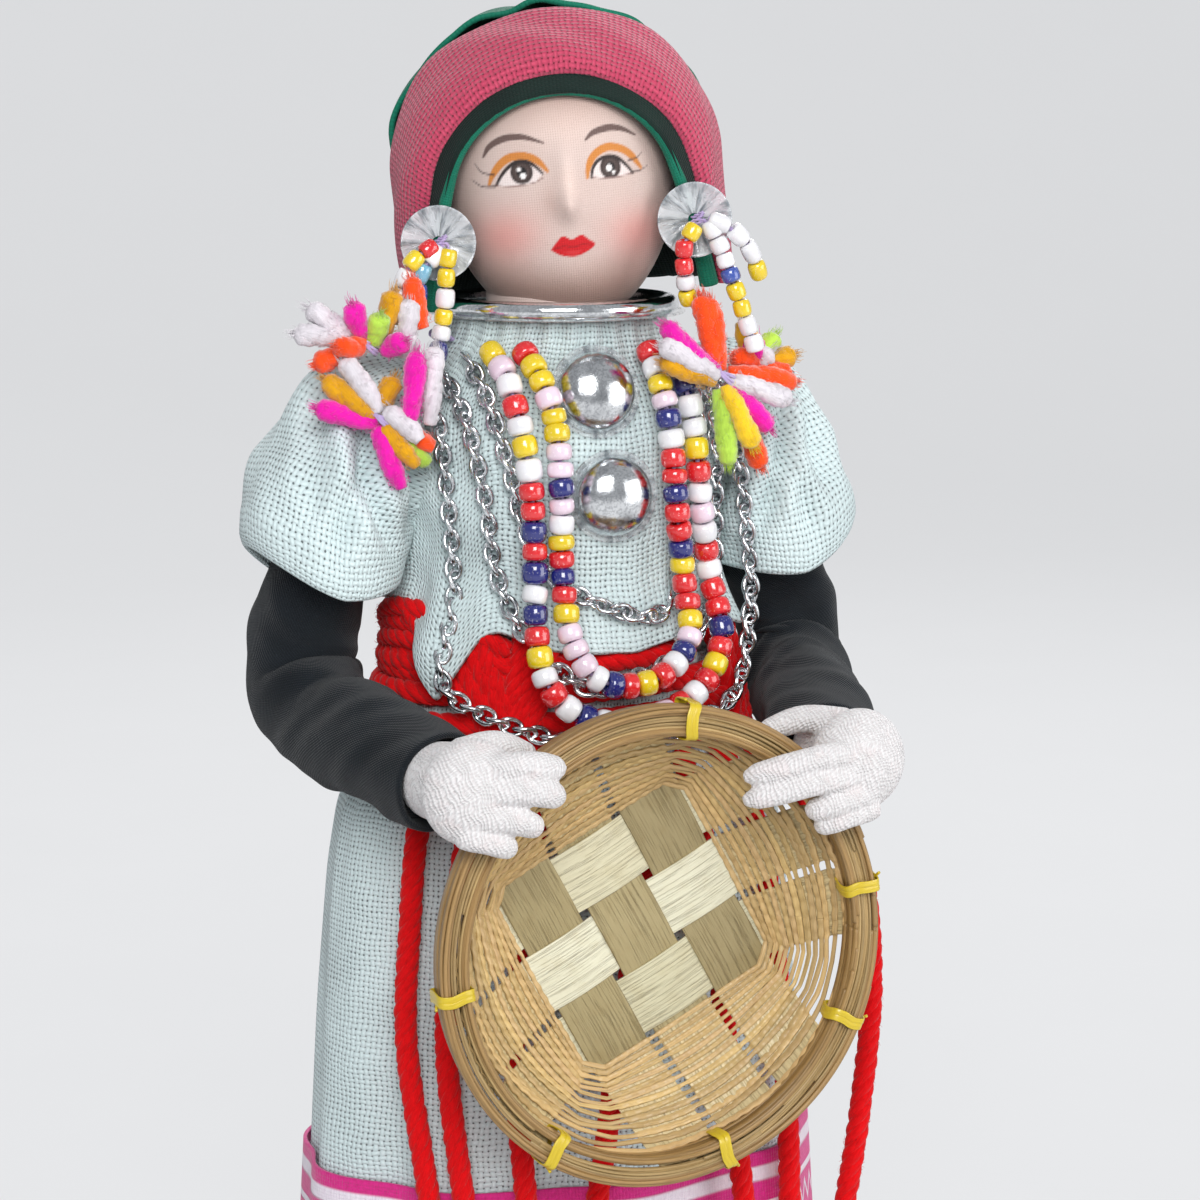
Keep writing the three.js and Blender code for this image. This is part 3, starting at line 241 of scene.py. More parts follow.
def yarn_cloth(name, shade=0.35, depth=0.16, sheen=0.5):
    """Soft spun yarn in its own tint, with fibres that run along the ply"""
    paint = Paint(name)
    u, v = paint.cloth()
    fibres = paint.noise(paint.place(u * 2.4, v * 0.55), 1.6, 4.0, 0.65)
    clumps = paint.noise(paint.place(u, v), 0.55, 3.0)
    dark = (1 - fibres.rise(0.3, 0.62)) * shade + (1 - clumps.rise(0.3, 0.6)) * shade * 0.5
    colour = paint.mix(dark, paint.tint(), paint.mix(0.55, paint.tint(), (0, 0, 0, 1), "MULTIPLY"))
    relief = paint.bump(fibres + clumps * 0.5, depth)
    return paint.finish(colour, 0.95, relief, Sheen_Weight=sheen, Sheen_Roughness=0.4,
        Specular_IOR_Level=0.15)


# Curves, surfaces and pieces

def through(points, step=None, count=None):
    """Smooth path through points, at equal steps"""
    points = np.asarray(points, float)
    padded = np.vstack([2 * points[0] - points[1], points, 2 * points[-1] - points[-2]])
    fine = []
    for i in range(1, len(padded) - 2):
        p0, p1, p2, p3 = padded[i - 1:i + 3]
        knots = np.cumsum([0.0, *[
            max(np.linalg.norm(b - a), 1e-6) ** 0.5 for a, b in ((p0, p1), (p1, p2), (p2, p3))]])
        t = np.linspace(knots[1], knots[2], 24, endpoint=False)[:, None]
        a1 = (knots[1] - t) / (knots[1] - knots[0]) * p0 + (t - knots[0]) / (knots[1] - knots[0]) * p1
        a2 = (knots[2] - t) / (knots[2] - knots[1]) * p1 + (t - knots[1]) / (knots[2] - knots[1]) * p2
        a3 = (knots[3] - t) / (knots[3] - knots[2]) * p2 + (t - knots[2]) / (knots[3] - knots[2]) * p3
        b1 = (knots[2] - t) / (knots[2] - knots[0]) * a1 + (t - knots[0]) / (knots[2] - knots[0]) * a2
        b2 = (knots[3] - t) / (knots[3] - knots[1]) * a2 + (t - knots[1]) / (knots[3] - knots[1]) * a3
        fine.append((knots[2] - t) / (knots[2] - knots[1]) * b1 + (t - knots[1]) / (knots[2] - knots[1]) * b2)
    fine = np.vstack([*fine, points[-1:]])
    return even(fine, step, count)


def even(path, step=None, count=None):
    """The same path with points at equal steps"""
    path = np.asarray(path, float)
    walked = np.concatenate([[0.0], np.cumsum(np.linalg.norm(np.diff(path, axis=0), axis=1))])
    count = count or max(2, int(round(walked[-1] / step)) + 1)
    places = np.linspace(0, walked[-1], count)
    return np.stack([np.interp(places, walked, path[:, k]) for k in range(3)], axis=1)


def length_of(path):
    return float(np.linalg.norm(np.diff(path, axis=0), axis=1).sum())


def unit(vectors):
    return vectors / np.maximum(np.linalg.norm(vectors, axis=-1, keepdims=True), 1e-9)


def frames_along(path, up=(0.0, -1.0, 0.0)):
    """Directions along, across and over a path, carried without twist"""
    along = unit(np.gradient(path, axis=0))
    across = np.empty_like(along)
    side = np.cross(along[0], up)
    if np.linalg.norm(side) < 1e-3:
        side = np.cross(along[0], (1.0, 0.0, 0.0))
    across[0] = unit(side)
    for i in range(1, len(path)):
        side = across[i - 1] - along[i] * np.dot(across[i - 1], along[i])
        across[i] = unit(side)
    return along, across, np.cross(along, across)


class Shape:
    """Points and faces of one piece, gathered grid by grid"""

    def __init__(self):
        self.points = []
        self.faces = []
        self.places = []
        self.tints = []
        self.count = 0

    def grid(self, points, wrap=False, tint=(1.0, 1.0, 1.0), caps=(False, False), places=None, closed=False):
        """Rows of points joined to a surface. Each corner keeps its place in the cloth, in mm"""
        points = np.asarray(points, float)
        rows, columns = points.shape[:2]
        ring = np.concatenate([points, points[:, :1]], axis=1) if wrap else points
        u = np.zeros(ring.shape[1])
        u[1:] = np.cumsum(np.linalg.norm(np.diff(ring, axis=1), axis=2).mean(axis=0))
        v = np.zeros(rows + 1)
        v[1:rows] = np.cumsum(np.linalg.norm(np.diff(points, axis=0), axis=2).mean(axis=1))
        v[rows] = 2 * v[rows - 1] - v[rows - 2]
        r, c = np.meshgrid(np.arange(rows if closed else rows - 1), np.arange(len(u) - 1), indexing="ij")
        r, c = r.ravel(), c.ravel()
        right = (c + 1) % columns
        above = (r + 1) % rows
        quads = np.stack([r * columns + c, r * columns + right, above * columns + right, above * columns + c],
            axis=1)
        if places is None:
            corners = np.stack([
                np.stack([u[c], v[r]], axis=1), np.stack([u[c + 1], v[r]], axis=1),
                np.stack([u[c + 1], v[r + 1]], axis=1), np.stack([u[c], v[r + 1]], axis=1),
            ], axis=1)
        else:
            corners = np.asarray(places, float).reshape(-1, 2)[quads]
        self.faces.extend((quads + self.count).tolist())
        self.places.extend(corners.reshape(-1, 2).tolist())
        self.points.append(points.reshape(-1, 3))
        first = self.count
        self.count += rows * columns
        self._tint(tint, rows * columns)
        for end, row in zip(caps, (0, rows - 1)):
            if end:
                self.cap(points[row], first + row * columns, row == 0, tint)
        return self

    def _tint(self, tint, amount):
        tint = np.asarray(tint, float)
        self.tints.append(
            np.broadcast_to(tint.reshape(-1, 3), (amount, 3)) if tint.ndim == 1 else tint.reshape(-1, 3))

    def cap(self, ring, first, reverse, tint):
        self.points.append(ring.mean(axis=0, keepdims=True))
        middle = self.count
        self.count += 1
        self._tint(np.asarray(tint, float).reshape(-1, 3)[0], 1)
        size = len(ring)
        flat = (ring - ring.mean(axis=0)) @ np.linalg.svd(ring - ring.mean(axis=0))[2][:2].T
        for i in range(size):
            j = (i + 1) % size
            a, b = (j, i) if reverse else (i, j)
            self.faces.append([middle, first + a, first + b])
            self.places.extend([[0.0, 0.0], flat[a].tolist(), flat[b].tolist()])

    def tube(self, path, radius, sides=10, tint=(1.0, 1.0, 1.0), caps=(True, True), up=(0.0, -1.0, 0.0)):
        """Round tube along a path. radius is a number or one for each point"""
        _, across, over = frames_along(path, up)
        angle = np.linspace(0, TURN, sides, endpoint=False)
        radius = np.broadcast_to(np.asarray(radius, float), (len(path),))[:, None, None]
        rings = path[:, None] + radius * (
            across[:, None] * np.cos(angle)[None, :, None] + over[:, None] * np.sin(angle)[None, :, None])
        return self.grid(rings, wrap=True, tint=tint, caps=caps)

    def made(self, name, material, body, replaces=(), slot=None, smooth=True, ride=True):
        mesh = bpy.data.meshes.new(name)
        mesh.from_pydata((np.vstack(self.points) * MM).tolist(), [], self.faces)
        layer = mesh.uv_layers.new(name="cloth")
        layer.data.foreach_set("uv", np.asarray(self.places, np.float32).ravel())
        colours = np.ones((self.count, 4), np.float32)
        colours[:, :3] = np.vstack(self.tints)
        mesh.color_attributes.new("tint", "FLOAT_COLOR", "POINT").data.foreach_set("color", colours.ravel())
        mesh.polygons.foreach_set("use_smooth", [smooth] * len(mesh.polygons))
        mesh.materials.append(material)
        piece = bpy.data.objects.new(name, mesh)
        bpy.context.scene.collection.objects.link(piece)
        if replaces:
            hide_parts(*replaces)
        if ride:
            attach(piece, body)
        return piece


def thicken(piece, thickness, offset=-1.0):
    made = piece.modifiers.new("cloth", "SOLIDIFY")
    made.thickness = thickness * MM
    made.offset = offset
    return piece


def spun(shape, path, radius, tint, pitch=6.5, plies=2, sides=8, phase=0.0, step=0.45, ends=(True, True)):
    """Spun yarn: plies wound round each other along a path"""
    path = even(path, step)
    walked = np.linspace(0, length_of(path), len(path))
    _, across, over = frames_along(path)
    ply = radius * (0.56 if plies == 2 else 0.54)
    reach = radius - ply
    swell = 1 + 0.05 * np.sin(walked * 1.7 + phase)
    for k in range(plies):
        angle = TURN * (walked / pitch + k / plies) + phase
        line = path + reach * (across * np.cos(angle)[:, None] + over * np.sin(angle)[:, None])
        shape.tube(line, ply * swell, sides, tint, ends)
    return shape


def lathe(shape, profile, centre, turn=None, sides=64, tint=(1.0, 1.0, 1.0)):
    """Surface of revolution about +Z, from (radius, height) rows, turned by a matrix"""
    angle = np.linspace(0, TURN, sides, endpoint=False)
    rows = [[(r * math.cos(a), r * math.sin(a), z) for a in angle] for r, z in profile]
    points = np.asarray(rows)
    if turn is not None:
        points = points @ np.asarray(turn).T
    return shape.grid(points + np.asarray(centre, float), wrap=True, tint=tint)


def smooth_rows(rows, places, window=5.0):
    """Values between rows of (place, value, ...), rounded over a window"""
    rows = np.asarray(rows, float)
    fine = np.linspace(rows[0, 0] - window, rows[-1, 0] + window, 400)
    weights = np.hanning(2 * int(window / (fine[1] - fine[0])) + 3)
    weights /= weights.sum()
    values = []
    for k in range(1, rows.shape[1]):
        line = np.interp(fine, rows[:, 0], rows[:, k])
        half = len(weights) // 2
        line = np.convolve(np.pad(line, half, mode="edge"), weights, "valid")
        values.append(np.interp(places, fine, line))
    return values


# Camera at the photograph's angle: 20 degrees round to the doll's right and 10 degrees up

CAMERA_TURN = math.radians(-20)
CAMERA_RISE = math.radians(10)
CAMERA_DISTANCE = 450.0
CAMERA_TARGET = Vector((6.0, -2.19, 140.6))
PHOTO_SIZE = 1200
PHOTO_FOCAL = 3030
SENSOR = 36.0


def add_camera():
    back = Vector((
        math.sin(CAMERA_TURN) * math.cos(CAMERA_RISE),
        -math.cos(CAMERA_TURN) * math.cos(CAMERA_RISE),
        math.sin(CAMERA_RISE),
    ))
    right = Vector((math.cos(CAMERA_TURN), math.sin(CAMERA_TURN), 0))
    data = bpy.data.cameras.new("camera")
    data.sensor_width = SENSOR
    data.lens = SENSOR * PHOTO_FOCAL / PHOTO_SIZE
    data.clip_start = 0.01
    camera = bpy.data.objects.new("camera", data)
    camera.matrix_world = Matrix.Translation((CAMERA_TARGET + back * CAMERA_DISTANCE) * MM) @ Matrix((
        right, back.cross(right), back)).transposed().to_4x4()
    bpy.context.scene.collection.objects.link(camera)
    bpy.context.scene.camera = camera


add_camera()


# Skirt surface that the tails, the hem band and the sash are laid on

SKIRT_ROWS = [(0, 39.5, 27), (44, 37, 24.2), (64, 35.4, 22.8), (75, 33.6, 21.6), (84, 26.2, 18.6),
    (96, 23.8, 16.6)]
FOLDS = 9
FOLD_DEPTH = 1.1


def skirt_rings(heights, lift=0.0, columns=420, gathers=1.0):
    """Rings of the skirt at heights above the hem, lifted off its cloth"""
    heights = np.asarray(heights, float)
    radius_x, radius_y = smooth_rows(SKIRT_ROWS, heights)
    angle = np.linspace(0, TURN, columns, endpoint=False)
    depth = FOLD_DEPTH * (1 - heights / 96)
    fold = depth[:, None] * np.cos(FOLDS * angle + 0.8)
    near_waist = np.clip((heights - 40) / 50, 0, 1)[:, None]
    wave = np.sin(27 * angle + 0.04 * heights[:, None]) + 0.6 * np.sin(41 * angle + 1.3)
    small = (
        0.16 * near_waist * wave
        + 0.2 * (1 - near_waist) * np.sin(17 * angle + 0.03 * heights[:, None] + 2))
    out = lift + fold + gathers * small
    return np.stack([
        (radius_x[:, None] + out) * np.cos(angle),
        (radius_y[:, None] + out) * np.sin(angle),
        np.broadcast_to(HEM + heights[:, None], out.shape),
    ], axis=2)


# Hanging yarn tails, which follow their solids' own points

YARN = 3.4
RED = rgb(226, 14, 20)[:3]
TAILS = [
    [(-21.5, None), (-25, 78.5), (-27, 73), (-28.5, 60), (-29.5, 44), (-28, 24), (-26.5, 8), (-26, -6)],
    [(-16.5, None), (-19, 78), (-21, 72), (-23, 60), (-24.5, 44), (-23.5, 24), (-21.5, 8), (-20.5, -9)],
    [(-9, None), (-10.6, 78), (-11.8, 72), (-13.5, 60), (-15.5, 44), (-15, 24), (-14, 8), (-14.5, -5)],
    [(6, None), (5.6, 78), (5, 72), (3, 60), (0, 44), (-4, 24), (-7, 8), (-7.5, -8)],
    [(12, None), (13, 78), (14, 72), (15.5, 60), (17, 44), (18.5, 24), (20, 8), (20, -7)],
    [(19, None), (21.6, 78), (24, 72), (26.5, 60), (28, 44), (28.5, 24), (28.5, 8), (29.5, -4)],
]
LOOSE_TAIL_START = 25
LOOSE_TAIL = [
    (29.6, -17.6, 77), (34.4, -18.5, 69.5), (41.5, -18, 62), (43, -20, 46),
    (40.5, -21.5, 24), (38, -21.5, 8), (37, -21, -8),
]
BAND_HEIGHT = 21.0
BAND_CLOTH = 0.9
TAIL_EASE = 0.7
SASH_BOTTOM = WAIST - 11.2
SASH_PITCH = YARN + 0.7


def form_at(rows, height):
    rows = np.asarray(rows, float)
    return [float(np.interp(height, rows[:, 0], rows[:, k])) for k in (1, 2)]


def front_of(radii, x, lift):
    share = min(abs(x) / (radii[0] + lift), 0.93)
    return -(radii[1] + lift) * math.sqrt(1 - share * share)


def sash_centre(z, lift=GAP + YARN / 2):
    radii = form_at(SKIRT_ROWS, min(z - HEM, 96))
    depth = max(0.0, FOLD_DEPTH * (1 - (z - HEM) / 96))
    return [radius + depth + lift for radius in radii]


def tail_start(x):
    z = SASH_BOTTOM - YARN / 2 - GAP
    return (x, front_of(sash_centre(z - 2 * GAP), x, 0), z)


def tail_points(route):
    points = [tail_start(route[0][0])]
    for x, height in route[1:]:
        depth = FOLD_DEPTH * (1 - max(height, 0) / 96)
        over_band = GAP + BAND_CLOTH if height < BAND_HEIGHT + 8 else 0
        lift = depth + GAP + TAIL_EASE + over_band + YARN / 2
        points.append((x, front_of(form_at(SKIRT_ROWS, height), x, lift), HEM + height))
    return points


def fuzz(shape, paths, radius, tint, density=2.2, reach=(0.7, 1.9), thickness=0.035):
    """Loose fibres that stand off yarn. density is fibres for each mm of its length"""
    for path in paths:
        path = even(path, 0.5)
        along, across, over = frames_along(path)
        for _ in range(int(length_of(path) * density)):
            i = rng.integers(1, len(path) - 1)
            angle = rng.uniform(0, TURN)
            out = across[i] * math.cos(angle) + over[i] * math.sin(angle)
            lean = along[i] * rng.uniform(-1, 1) + np.cross(along[i], out) * rng.uniform(-0.8, 0.8)
            long = rng.uniform(*reach)
            t = np.linspace(0, 1, 4)[:, None]
            line = (
                path[i] + out * radius * 0.85 + out * long * t * (1 - 0.35 * t) * 0.5
                + lean * long * t ** 1.5 * 0.8)
            shape.tube(line, thickness * np.array([1, 0.9, 0.7, 0.3]), 3, tint, (False, False))
    return shape


red_yarn = yarn_cloth("red_yarn", sheen=0.12)


def add_tails():
    routes = [tail_points(route) for route in TAILS]
    routes.append([tail_start(LOOSE_TAIL_START), *[(x, y, HEM + h) for x, y, h in LOOSE_TAIL]])
    for number, points in enumerate(routes, 1):
        path = through(points, step=0.5)
        shape = spun(Shape(), path, YARN / 2, RED, pitch=8.5, plies=4, phase=number * 1.3)
        tail = shape.made(f"tail_{number}", red_yarn, "root", [f"sash_tail_{number}"], "red_yarn")
        loose = fuzz(Shape(), [path], YARN / 2, RED, 8, (0.4, 1.5), 0.03)
        loose = loose.made(f"tail_{number}_fuzz", red_yarn, "root", slot="red_yarn")


add_tails()


# Floor, backdrop and lamps

def add_studio():
    paint = Paint("studio_paper")
    grain = paint.noise(paint.solid_place(), 0.02, 3.0)
    colour = paint.mix(grain, rgb(196, 196, 197), rgb(204, 204, 205))
    sweep = []
    for i in range(41):
        if i < 10:
            sweep.append((1500 - 230 * i, 0.0))
        elif i <= 30:
            turn = (i - 10) / 20 * math.pi / 2
            sweep.append((-800 - 600 * math.sin(turn), 600 - 600 * math.cos(turn)))
        else:
            sweep.append((-1400.0, 600 + 160 * (i - 30)))
    points = [[(x, -y, z) for x in np.linspace(-2400, 2400, 25)] for y, z in sweep]
    material = paint.finish(colour, 0.9)
    rays = paint.node("ShaderNodeLightPath")
    seen = rays.most(
        paint.node("ShaderNodeLightPath", output=3)).most(paint.node("ShaderNodeLightPath", output=6))
    glow = paint.node("ShaderNodeEmission", None, {"Color": rgb(240, 241, 243), "Strength": 1.0})
    both = paint.node("ShaderNodeMixShader", None, {0: seen * 0.7, 2: glow})
    paint.tree.links.new(paint.shader.outputs[0], both.socket.node.inputs[1])
    paint.tree.links.new(both.socket, paint.tree.nodes["Material Output"].inputs["Surface"])
    Shape().grid(points).made("studio_paper", material, None, ride=False)


def add_lamp(name, place, target, size, power, colour=(1.0, 1.0, 1.0)):
    data = bpy.data.lights.new(name, "AREA")
    data.shape = "RECTANGLE"
    data.size, data.size_y = size[0] * MM, size[1] * MM
    data.energy = power
    data.color = colour
    lamp = bpy.data.objects.new(name, data)
    away = Vector(place) - Vector(target)
    lamp.matrix_world = (
        Matrix.Translation(Vector(place) * MM) @ away.to_track_quat("Z", "Y").to_matrix().to_4x4())
    bpy.context.scene.collection.objects.link(lamp)


def add_world(strength):
    world = bpy.data.worlds.new("studio")
    world.use_nodes = True
    background = world.node_tree.nodes["Background"]
    background.inputs["Color"].default_value = (0.93, 0.96, 1.0, 1.0)
    background.inputs["Strength"].default_value = strength
    bpy.context.scene.world = world
    bpy.context.scene.view_settings.view_transform = "Standard"


add_studio()
add_world(0.42)
CHEST = (0, -15, 140)
add_lamp("key_lamp", (-230, -760, 560), CHEST, (420, 420), 6.1)
add_lamp("fill_lamp", (620, -560, 260), CHEST, (520, 520), 2.6)
add_lamp("rim_lamp", (260, 560, 620), CHEST, (400, 300), 3.4)


# Stand and the stuffed legs and torso

def varnished_wood():
    paint = Paint("dark_wood")
    place = paint.solid_place()
    x, y, z = [paint.node("ShaderNodeSeparateXYZ", None, {0: place}, output=i) for i in range(3)]
    stretched = paint.place(x * 0.12, y * 1.3, z * 1.3)
    bend = paint.noise(place, 0.03, 2.0)
    grain = paint.noise(stretched, 0.9, 5.0, 0.6)
    rings = ((y + bend * 14) * 1.35 + grain * 3.4).sine().rise(-0.7, 0.9)
    pores = paint.noise(paint.place(x * 0.25, y * 6, z * 6), 1.0, 2.0).rise(0.62, 0.7)
    colour = paint.mix(rings * 0.8, rgb(58, 34, 20), rgb(92, 56, 32))
    colour = paint.mix(pores * 0.7, colour, rgb(28, 16, 10))
    worn = paint.noise(place, 0.25, 3.0)
    relief = paint.bump(grain * 0.3 + pores * -0.5, 0.05)
    return paint.finish(colour, 0.32 + worn * 0.25, relief, Coat_Weight=0.35, Coat_Roughness=0.2)


def drawn_steel():
    paint = Paint("steel_wire")
    place = paint.solid_place()
    streaks = paint.noise(place, 2.5, 4.0, 0.6)
    colour = paint.mix(streaks, rgb(150, 152, 154), rgb(196, 198, 200))
    return paint.finish(colour, 0.3 + streaks * 0.2, paint.bump(streaks, 0.03), Metallic=1.0)


def twill():
    """Black twill: fine slanting ridges, clouds of wear and pale lint"""
    paint = Paint("black_cloth")
    u, v = paint.cloth()
    where = paint.place(u, v)
    clouds = paint.noise(where, 0.16, 3.0)
    ridges = ((u + v * 0.8 + clouds * 0.7) * (TURN / 0.45)).sine() * 0.5 + 0.5
    threads = ((v - u * 0.2) * (TURN / 0.34)).sine() * 0.5 + 0.5
    lint = paint.noise(paint.place(u * 3.1, v * 1.2), 1.3, 3.0, 0.7).rise(0.66, 0.74)
    colour = paint.mix(ridges * 0.22 + clouds * 0.5, rgb(9, 12, 16), rgb(32, 40, 47))
    colour = paint.mix(lint * 0.24, colour, rgb(96, 106, 114))
    relief = paint.bump(ridges + threads * 0.4 + clouds, 0.08)
    return paint.finish(colour, 0.86, relief, Sheen_Weight=0.12, Specular_IOR_Level=0.2)


steel_wire = drawn_steel()
black_cloth = twill()
body_cloth = smooth_cloth("body_cloth", rgb(226, 225, 220), rgb(186, 184, 178), 0.4, 0.08)


def add_stand():
    profile = [(0.0, 0.0), (20, 0.0), (40.2, 0.0), (41.4, 0.5), (42, 1.6), (42, 3.6), (41.6, 4.4),
        (41.1, 4.9)]
    profile += [(41.4, 5.5), (41.8, 6.3), (41.5, 7.1), (40.8, 7.7), (39.6, 8.0), (37.6, 8.0), (37.2, 7.75),
        (36.8, 7.75)]
    profile += [(36.4, 8.0), (20, 8.0), (0.0, 8.0)]
    fine = []
    for (r0, z0), (r1, z1) in zip(profile, profile[1:]):
        fine.extend([(r0 + (r1 - r0) * t, z0 + (z1 - z0) * t) for t in np.linspace(0, 1, 4, endpoint=False)])
    fine.append(profile[-1])
    shape = lathe(Shape(), fine[1:-1], (0, 0, 0), sides=96)
    shape.made("round_stand", varnished_wood(), "root", ["stand_base"], "dark_wood")


add_stand()


def stuffed(shape, rows, centre=(0, 0), columns=48, dimples=0.12):
    """Closed stuffed form from rows of height, half width, half depth and place forwards"""
    heights = np.linspace(rows[0][0], rows[-1][0], max(24, int((rows[-1][0] - rows[0][0]) / 1.2)))
    radius_x, radius_y, forward = smooth_rows(rows, heights, 3.0)
    angle = np.linspace(0, TURN, columns, endpoint=False)
    rings = []
    for z, rx, ry, ahead in zip(heights, radius_x, radius_y, forward):
        lump = 1 + dimples / max(rx, 1) * (np.sin(3 * angle + z * 0.21) + np.sin(5 * angle - z * 0.13))
        rings.append(np.stack([
            centre[0] + rx * lump * np.cos(angle), centre[1] - ahead + ry * lump * np.sin(angle),
            np.full(columns, z)], axis=1))
    return shape.grid(rings, wrap=True, caps=(True, True))


def leg_rows(top):
    ankle = 17.3
    return [
        (8.4, 4.5, 9.6, 4.5), (9.6, 5.1, 10.8, 4.5), (12, 5.0, 10.0, 4.0), (15, 4.6, 7.0, 1.8),
        (ankle, 4.4, 4.9, 0.2), (ankle + 8, 5.4, 5.4, 0), (ankle + 18, 6.5, 6.5, 0),
        (ankle + 34, 6.5, 6.5, 0),
        (top - 16, 7.8, 7.8, 0), (top - 4, 8.0, 8.0, 0), (top, 6.6, 6.6, 0),
    ]


def add_body():
    for name, x in (("right", -9), ("left", 9)):
        leg = stuffed(Shape(), leg_rows(109.6), (x, 0), 40)
        leg = leg.made(f"{name}_stuffed_leg", black_cloth, "root", [f"{name}_leg"], "black_cloth")
    torso = [
        (110, 13, 9.4, 0), (112.5, 15.6, 11.4, 0), (117, 19.3, 13.3, 0), (134, 22.4, 15.3, 0),
        (146, 23.2, 16, 0),
        (156, 23.8, 16.6, 0), (165, 24, 16.2, 0), (171, 22.7, 14.7, 0), (175.4, 18, 12.6, 0),
        (178, 14.5, 9.4, 0),
    ]
    torso = stuffed(Shape(), torso, columns=72).made("stuffed_torso", body_cloth, "root", ["torso"],
        "body_cloth")


add_body()


# Gauze dress: skirt, bodice and sleeves

white_gauze = gauze("white_gauze", rgb(225, 242, 243), rgb(72, 82, 84), 0.8, 0.26, (0.38, 0.6))


def add_skirt():
    heights = np.linspace(0, 95.4, 90)
    rings = skirt_rings(heights)
    turned = skirt_rings([1.4, 0.5], lift=-0.75)
    edge = skirt_rings([-0.1], lift=-0.4)
    shape = Shape().grid(np.concatenate([turned, edge, rings]), wrap=True)
    piece = thicken(shape.made("gauze_skirt", white_gauze, "root", ["skirt"], "white_gauze"), 0.5)


TORSO_ROWS = [
    (-24, 15, 11), (-17, 19.5, 13.5), (0, 22.6, 15.4), (12, 23.4, 16.2), (22, 24, 16.8),
    (31, 24.2, 16.4), (37, 22.9, 14.9), (42, 18.4, 12.9),
]
BODICE_LAYER = 1.6
# The corner that hangs over the sash: where it is, in degrees round, and how far it stands off
FLAP_PLACE = -141
FLAP_LIFT = 1.9
BODICE_HEM = [
    (-180, 9), (-160, 9.6), (-152, 4), (-146, -1.6), (FLAP_PLACE, -4.6), (-136, -1.2), (-129, 5), (-122, 6),
    (-105, 3), (-80, 2.2), (-55, 5), (-40, 5.6), (-25, 3.4), (10, 2), (130, 2), (148, 5), (162, 8), (180, 9),
]
BODICE_ROWS = [(-4, 29.4, 22.1), (3.4, 28.0, 20.7)] + [
    (h, rx + BODICE_LAYER, ry + BODICE_LAYER) for h, rx, ry in TORSO_ROWS if h > 3.4
] + [(46, 17, 14.6), (49, 16, 14.6)]


def bodice_rings(heights, lift=0.0, columns=400):
    heights = np.asarray(heights, float)
    angle = np.linspace(0, TURN, columns, endpoint=False)
    turned = np.degrees((angle + math.pi) % TURN - math.pi)
    hem = np.interp(turned, *np.transpose(BODICE_HEM))
    hem = np.convolve(np.pad(hem, 4, mode="wrap"), np.hanning(11)[1:-1] / 5, "valid")
    h = hem + (heights[:, None] - 3.4) * (49 - hem) / 45.6
    radius_x, radius_y = smooth_rows(BODICE_ROWS, h, 2.5)
    front = np.clip(-np.sin(angle), 0, 1)
    low = np.clip((24 - h) / 20, 0, 1)
    high = np.clip((h - 40) / 6, 0, 1)
    pleats = 0.38 * low * np.sin(15 * angle + 0.06 * h + 0.7) + 0.22 * low * np.sin(26 * angle - 0.05 * h)
    gathers = 0.34 * high * np.sin(32 * angle + 0.5) * (0.4 + 0.6 * front)
    soft = 0.28 * (1 - low) * np.sin(5 * angle + 0.11 * h) * np.sin(0.19 * h + 2 * angle)
    sides = np.exp(-((np.abs(np.abs(turned) - 90) - 52) / 16) ** 2) * np.clip((36 - h) / 8, 0, 1)
    drawn = 0.75 * sides * np.sin(0.42 * h + 5.5 * angle) * np.sin(0.13 * h + 1)
    over_sash = (
        FLAP_LIFT * np.exp(-((turned - FLAP_PLACE) / 13) ** 2)
        * np.clip((15 - h) / 7, 0, 1) * np.clip((h + 5) / 8, 0.3, 1))
    out = lift + pleats + gathers + soft + drawn + over_sash
    return np.stack([(radius_x + out) * np.cos(angle), (radius_y + out) * np.sin(angle), WAIST + h], axis=2)


def add_bodice():
    heights = np.linspace(3.4, 49, 70)
    rings = bodice_rings(heights)
    hem = bodice_rings([3.0], lift=-0.5)
    collar = bodice_rings([48.9, 47.4], lift=-0.9)
    shape = Shape().grid(np.concatenate([hem, rings, collar]), wrap=True)
    piece = thicken(shape.made("gauze_bodice", white_gauze, "root", ["bodice"], "white_gauze"), 0.5)


ARMS = {
    "right": {"side": -1, "shoulder": -28.5, "sleeve": -34, "cuff": -36.2, "elbow": -38.6},
    "left": {"side": 1, "shoulder": 27.5, "sleeve": 31.5, "cuff": 33.6, "elbow": 37.4},
}
SHOULDER_Z = 168.5
ELBOW = (3.0, 130.0)
CUFF_Z = ELBOW[1] + 15.4
TRAY = Vector((0, -43.915, 99.4))
GRIP = Vector((24.45, -43.915, 121.77))


SLEEVE_CREASES = [
    (300, 232, 0.34, 0.92, 2.8, 9), (262, 205, 0.2, 0.75, 2.5, 9), (335, 300, 0.3, 0.8, 1.4, 11),
    (240, 262, 0.1, 0.4, 1.8, 8), (200, 180, 0.35, 0.9, 2.0, 10), (278, 290, 0.5, 0.98, 1.8, 7),
    (120, 60, 0.25, 0.85, 1.6, 14), (60, 100, 0.1, 0.5, 1.2, 12),
]


def creases(angle, s, side):
    """Sunk folds that run slantwise down a sleeve, with the cloth standing up beside them"""
    sunk = np.zeros_like(angle)
    for first, last, start, end, depth, width in SLEEVE_CREASES:
        t = (s - start) / (end - start)
        if 0 < t < 1:
            line = first + (last - first) * t
            line = line if side < 0 else 180 - line
            off = ((np.degrees(angle) - line + 180) % 360 - 180) / width
            shape = np.exp(-off ** 2) - 0.5 * np.exp(-(np.abs(off) - 1.9) ** 2)
            sunk += depth * math.sin(math.pi * t) ** 0.7 * shape
    return sunk


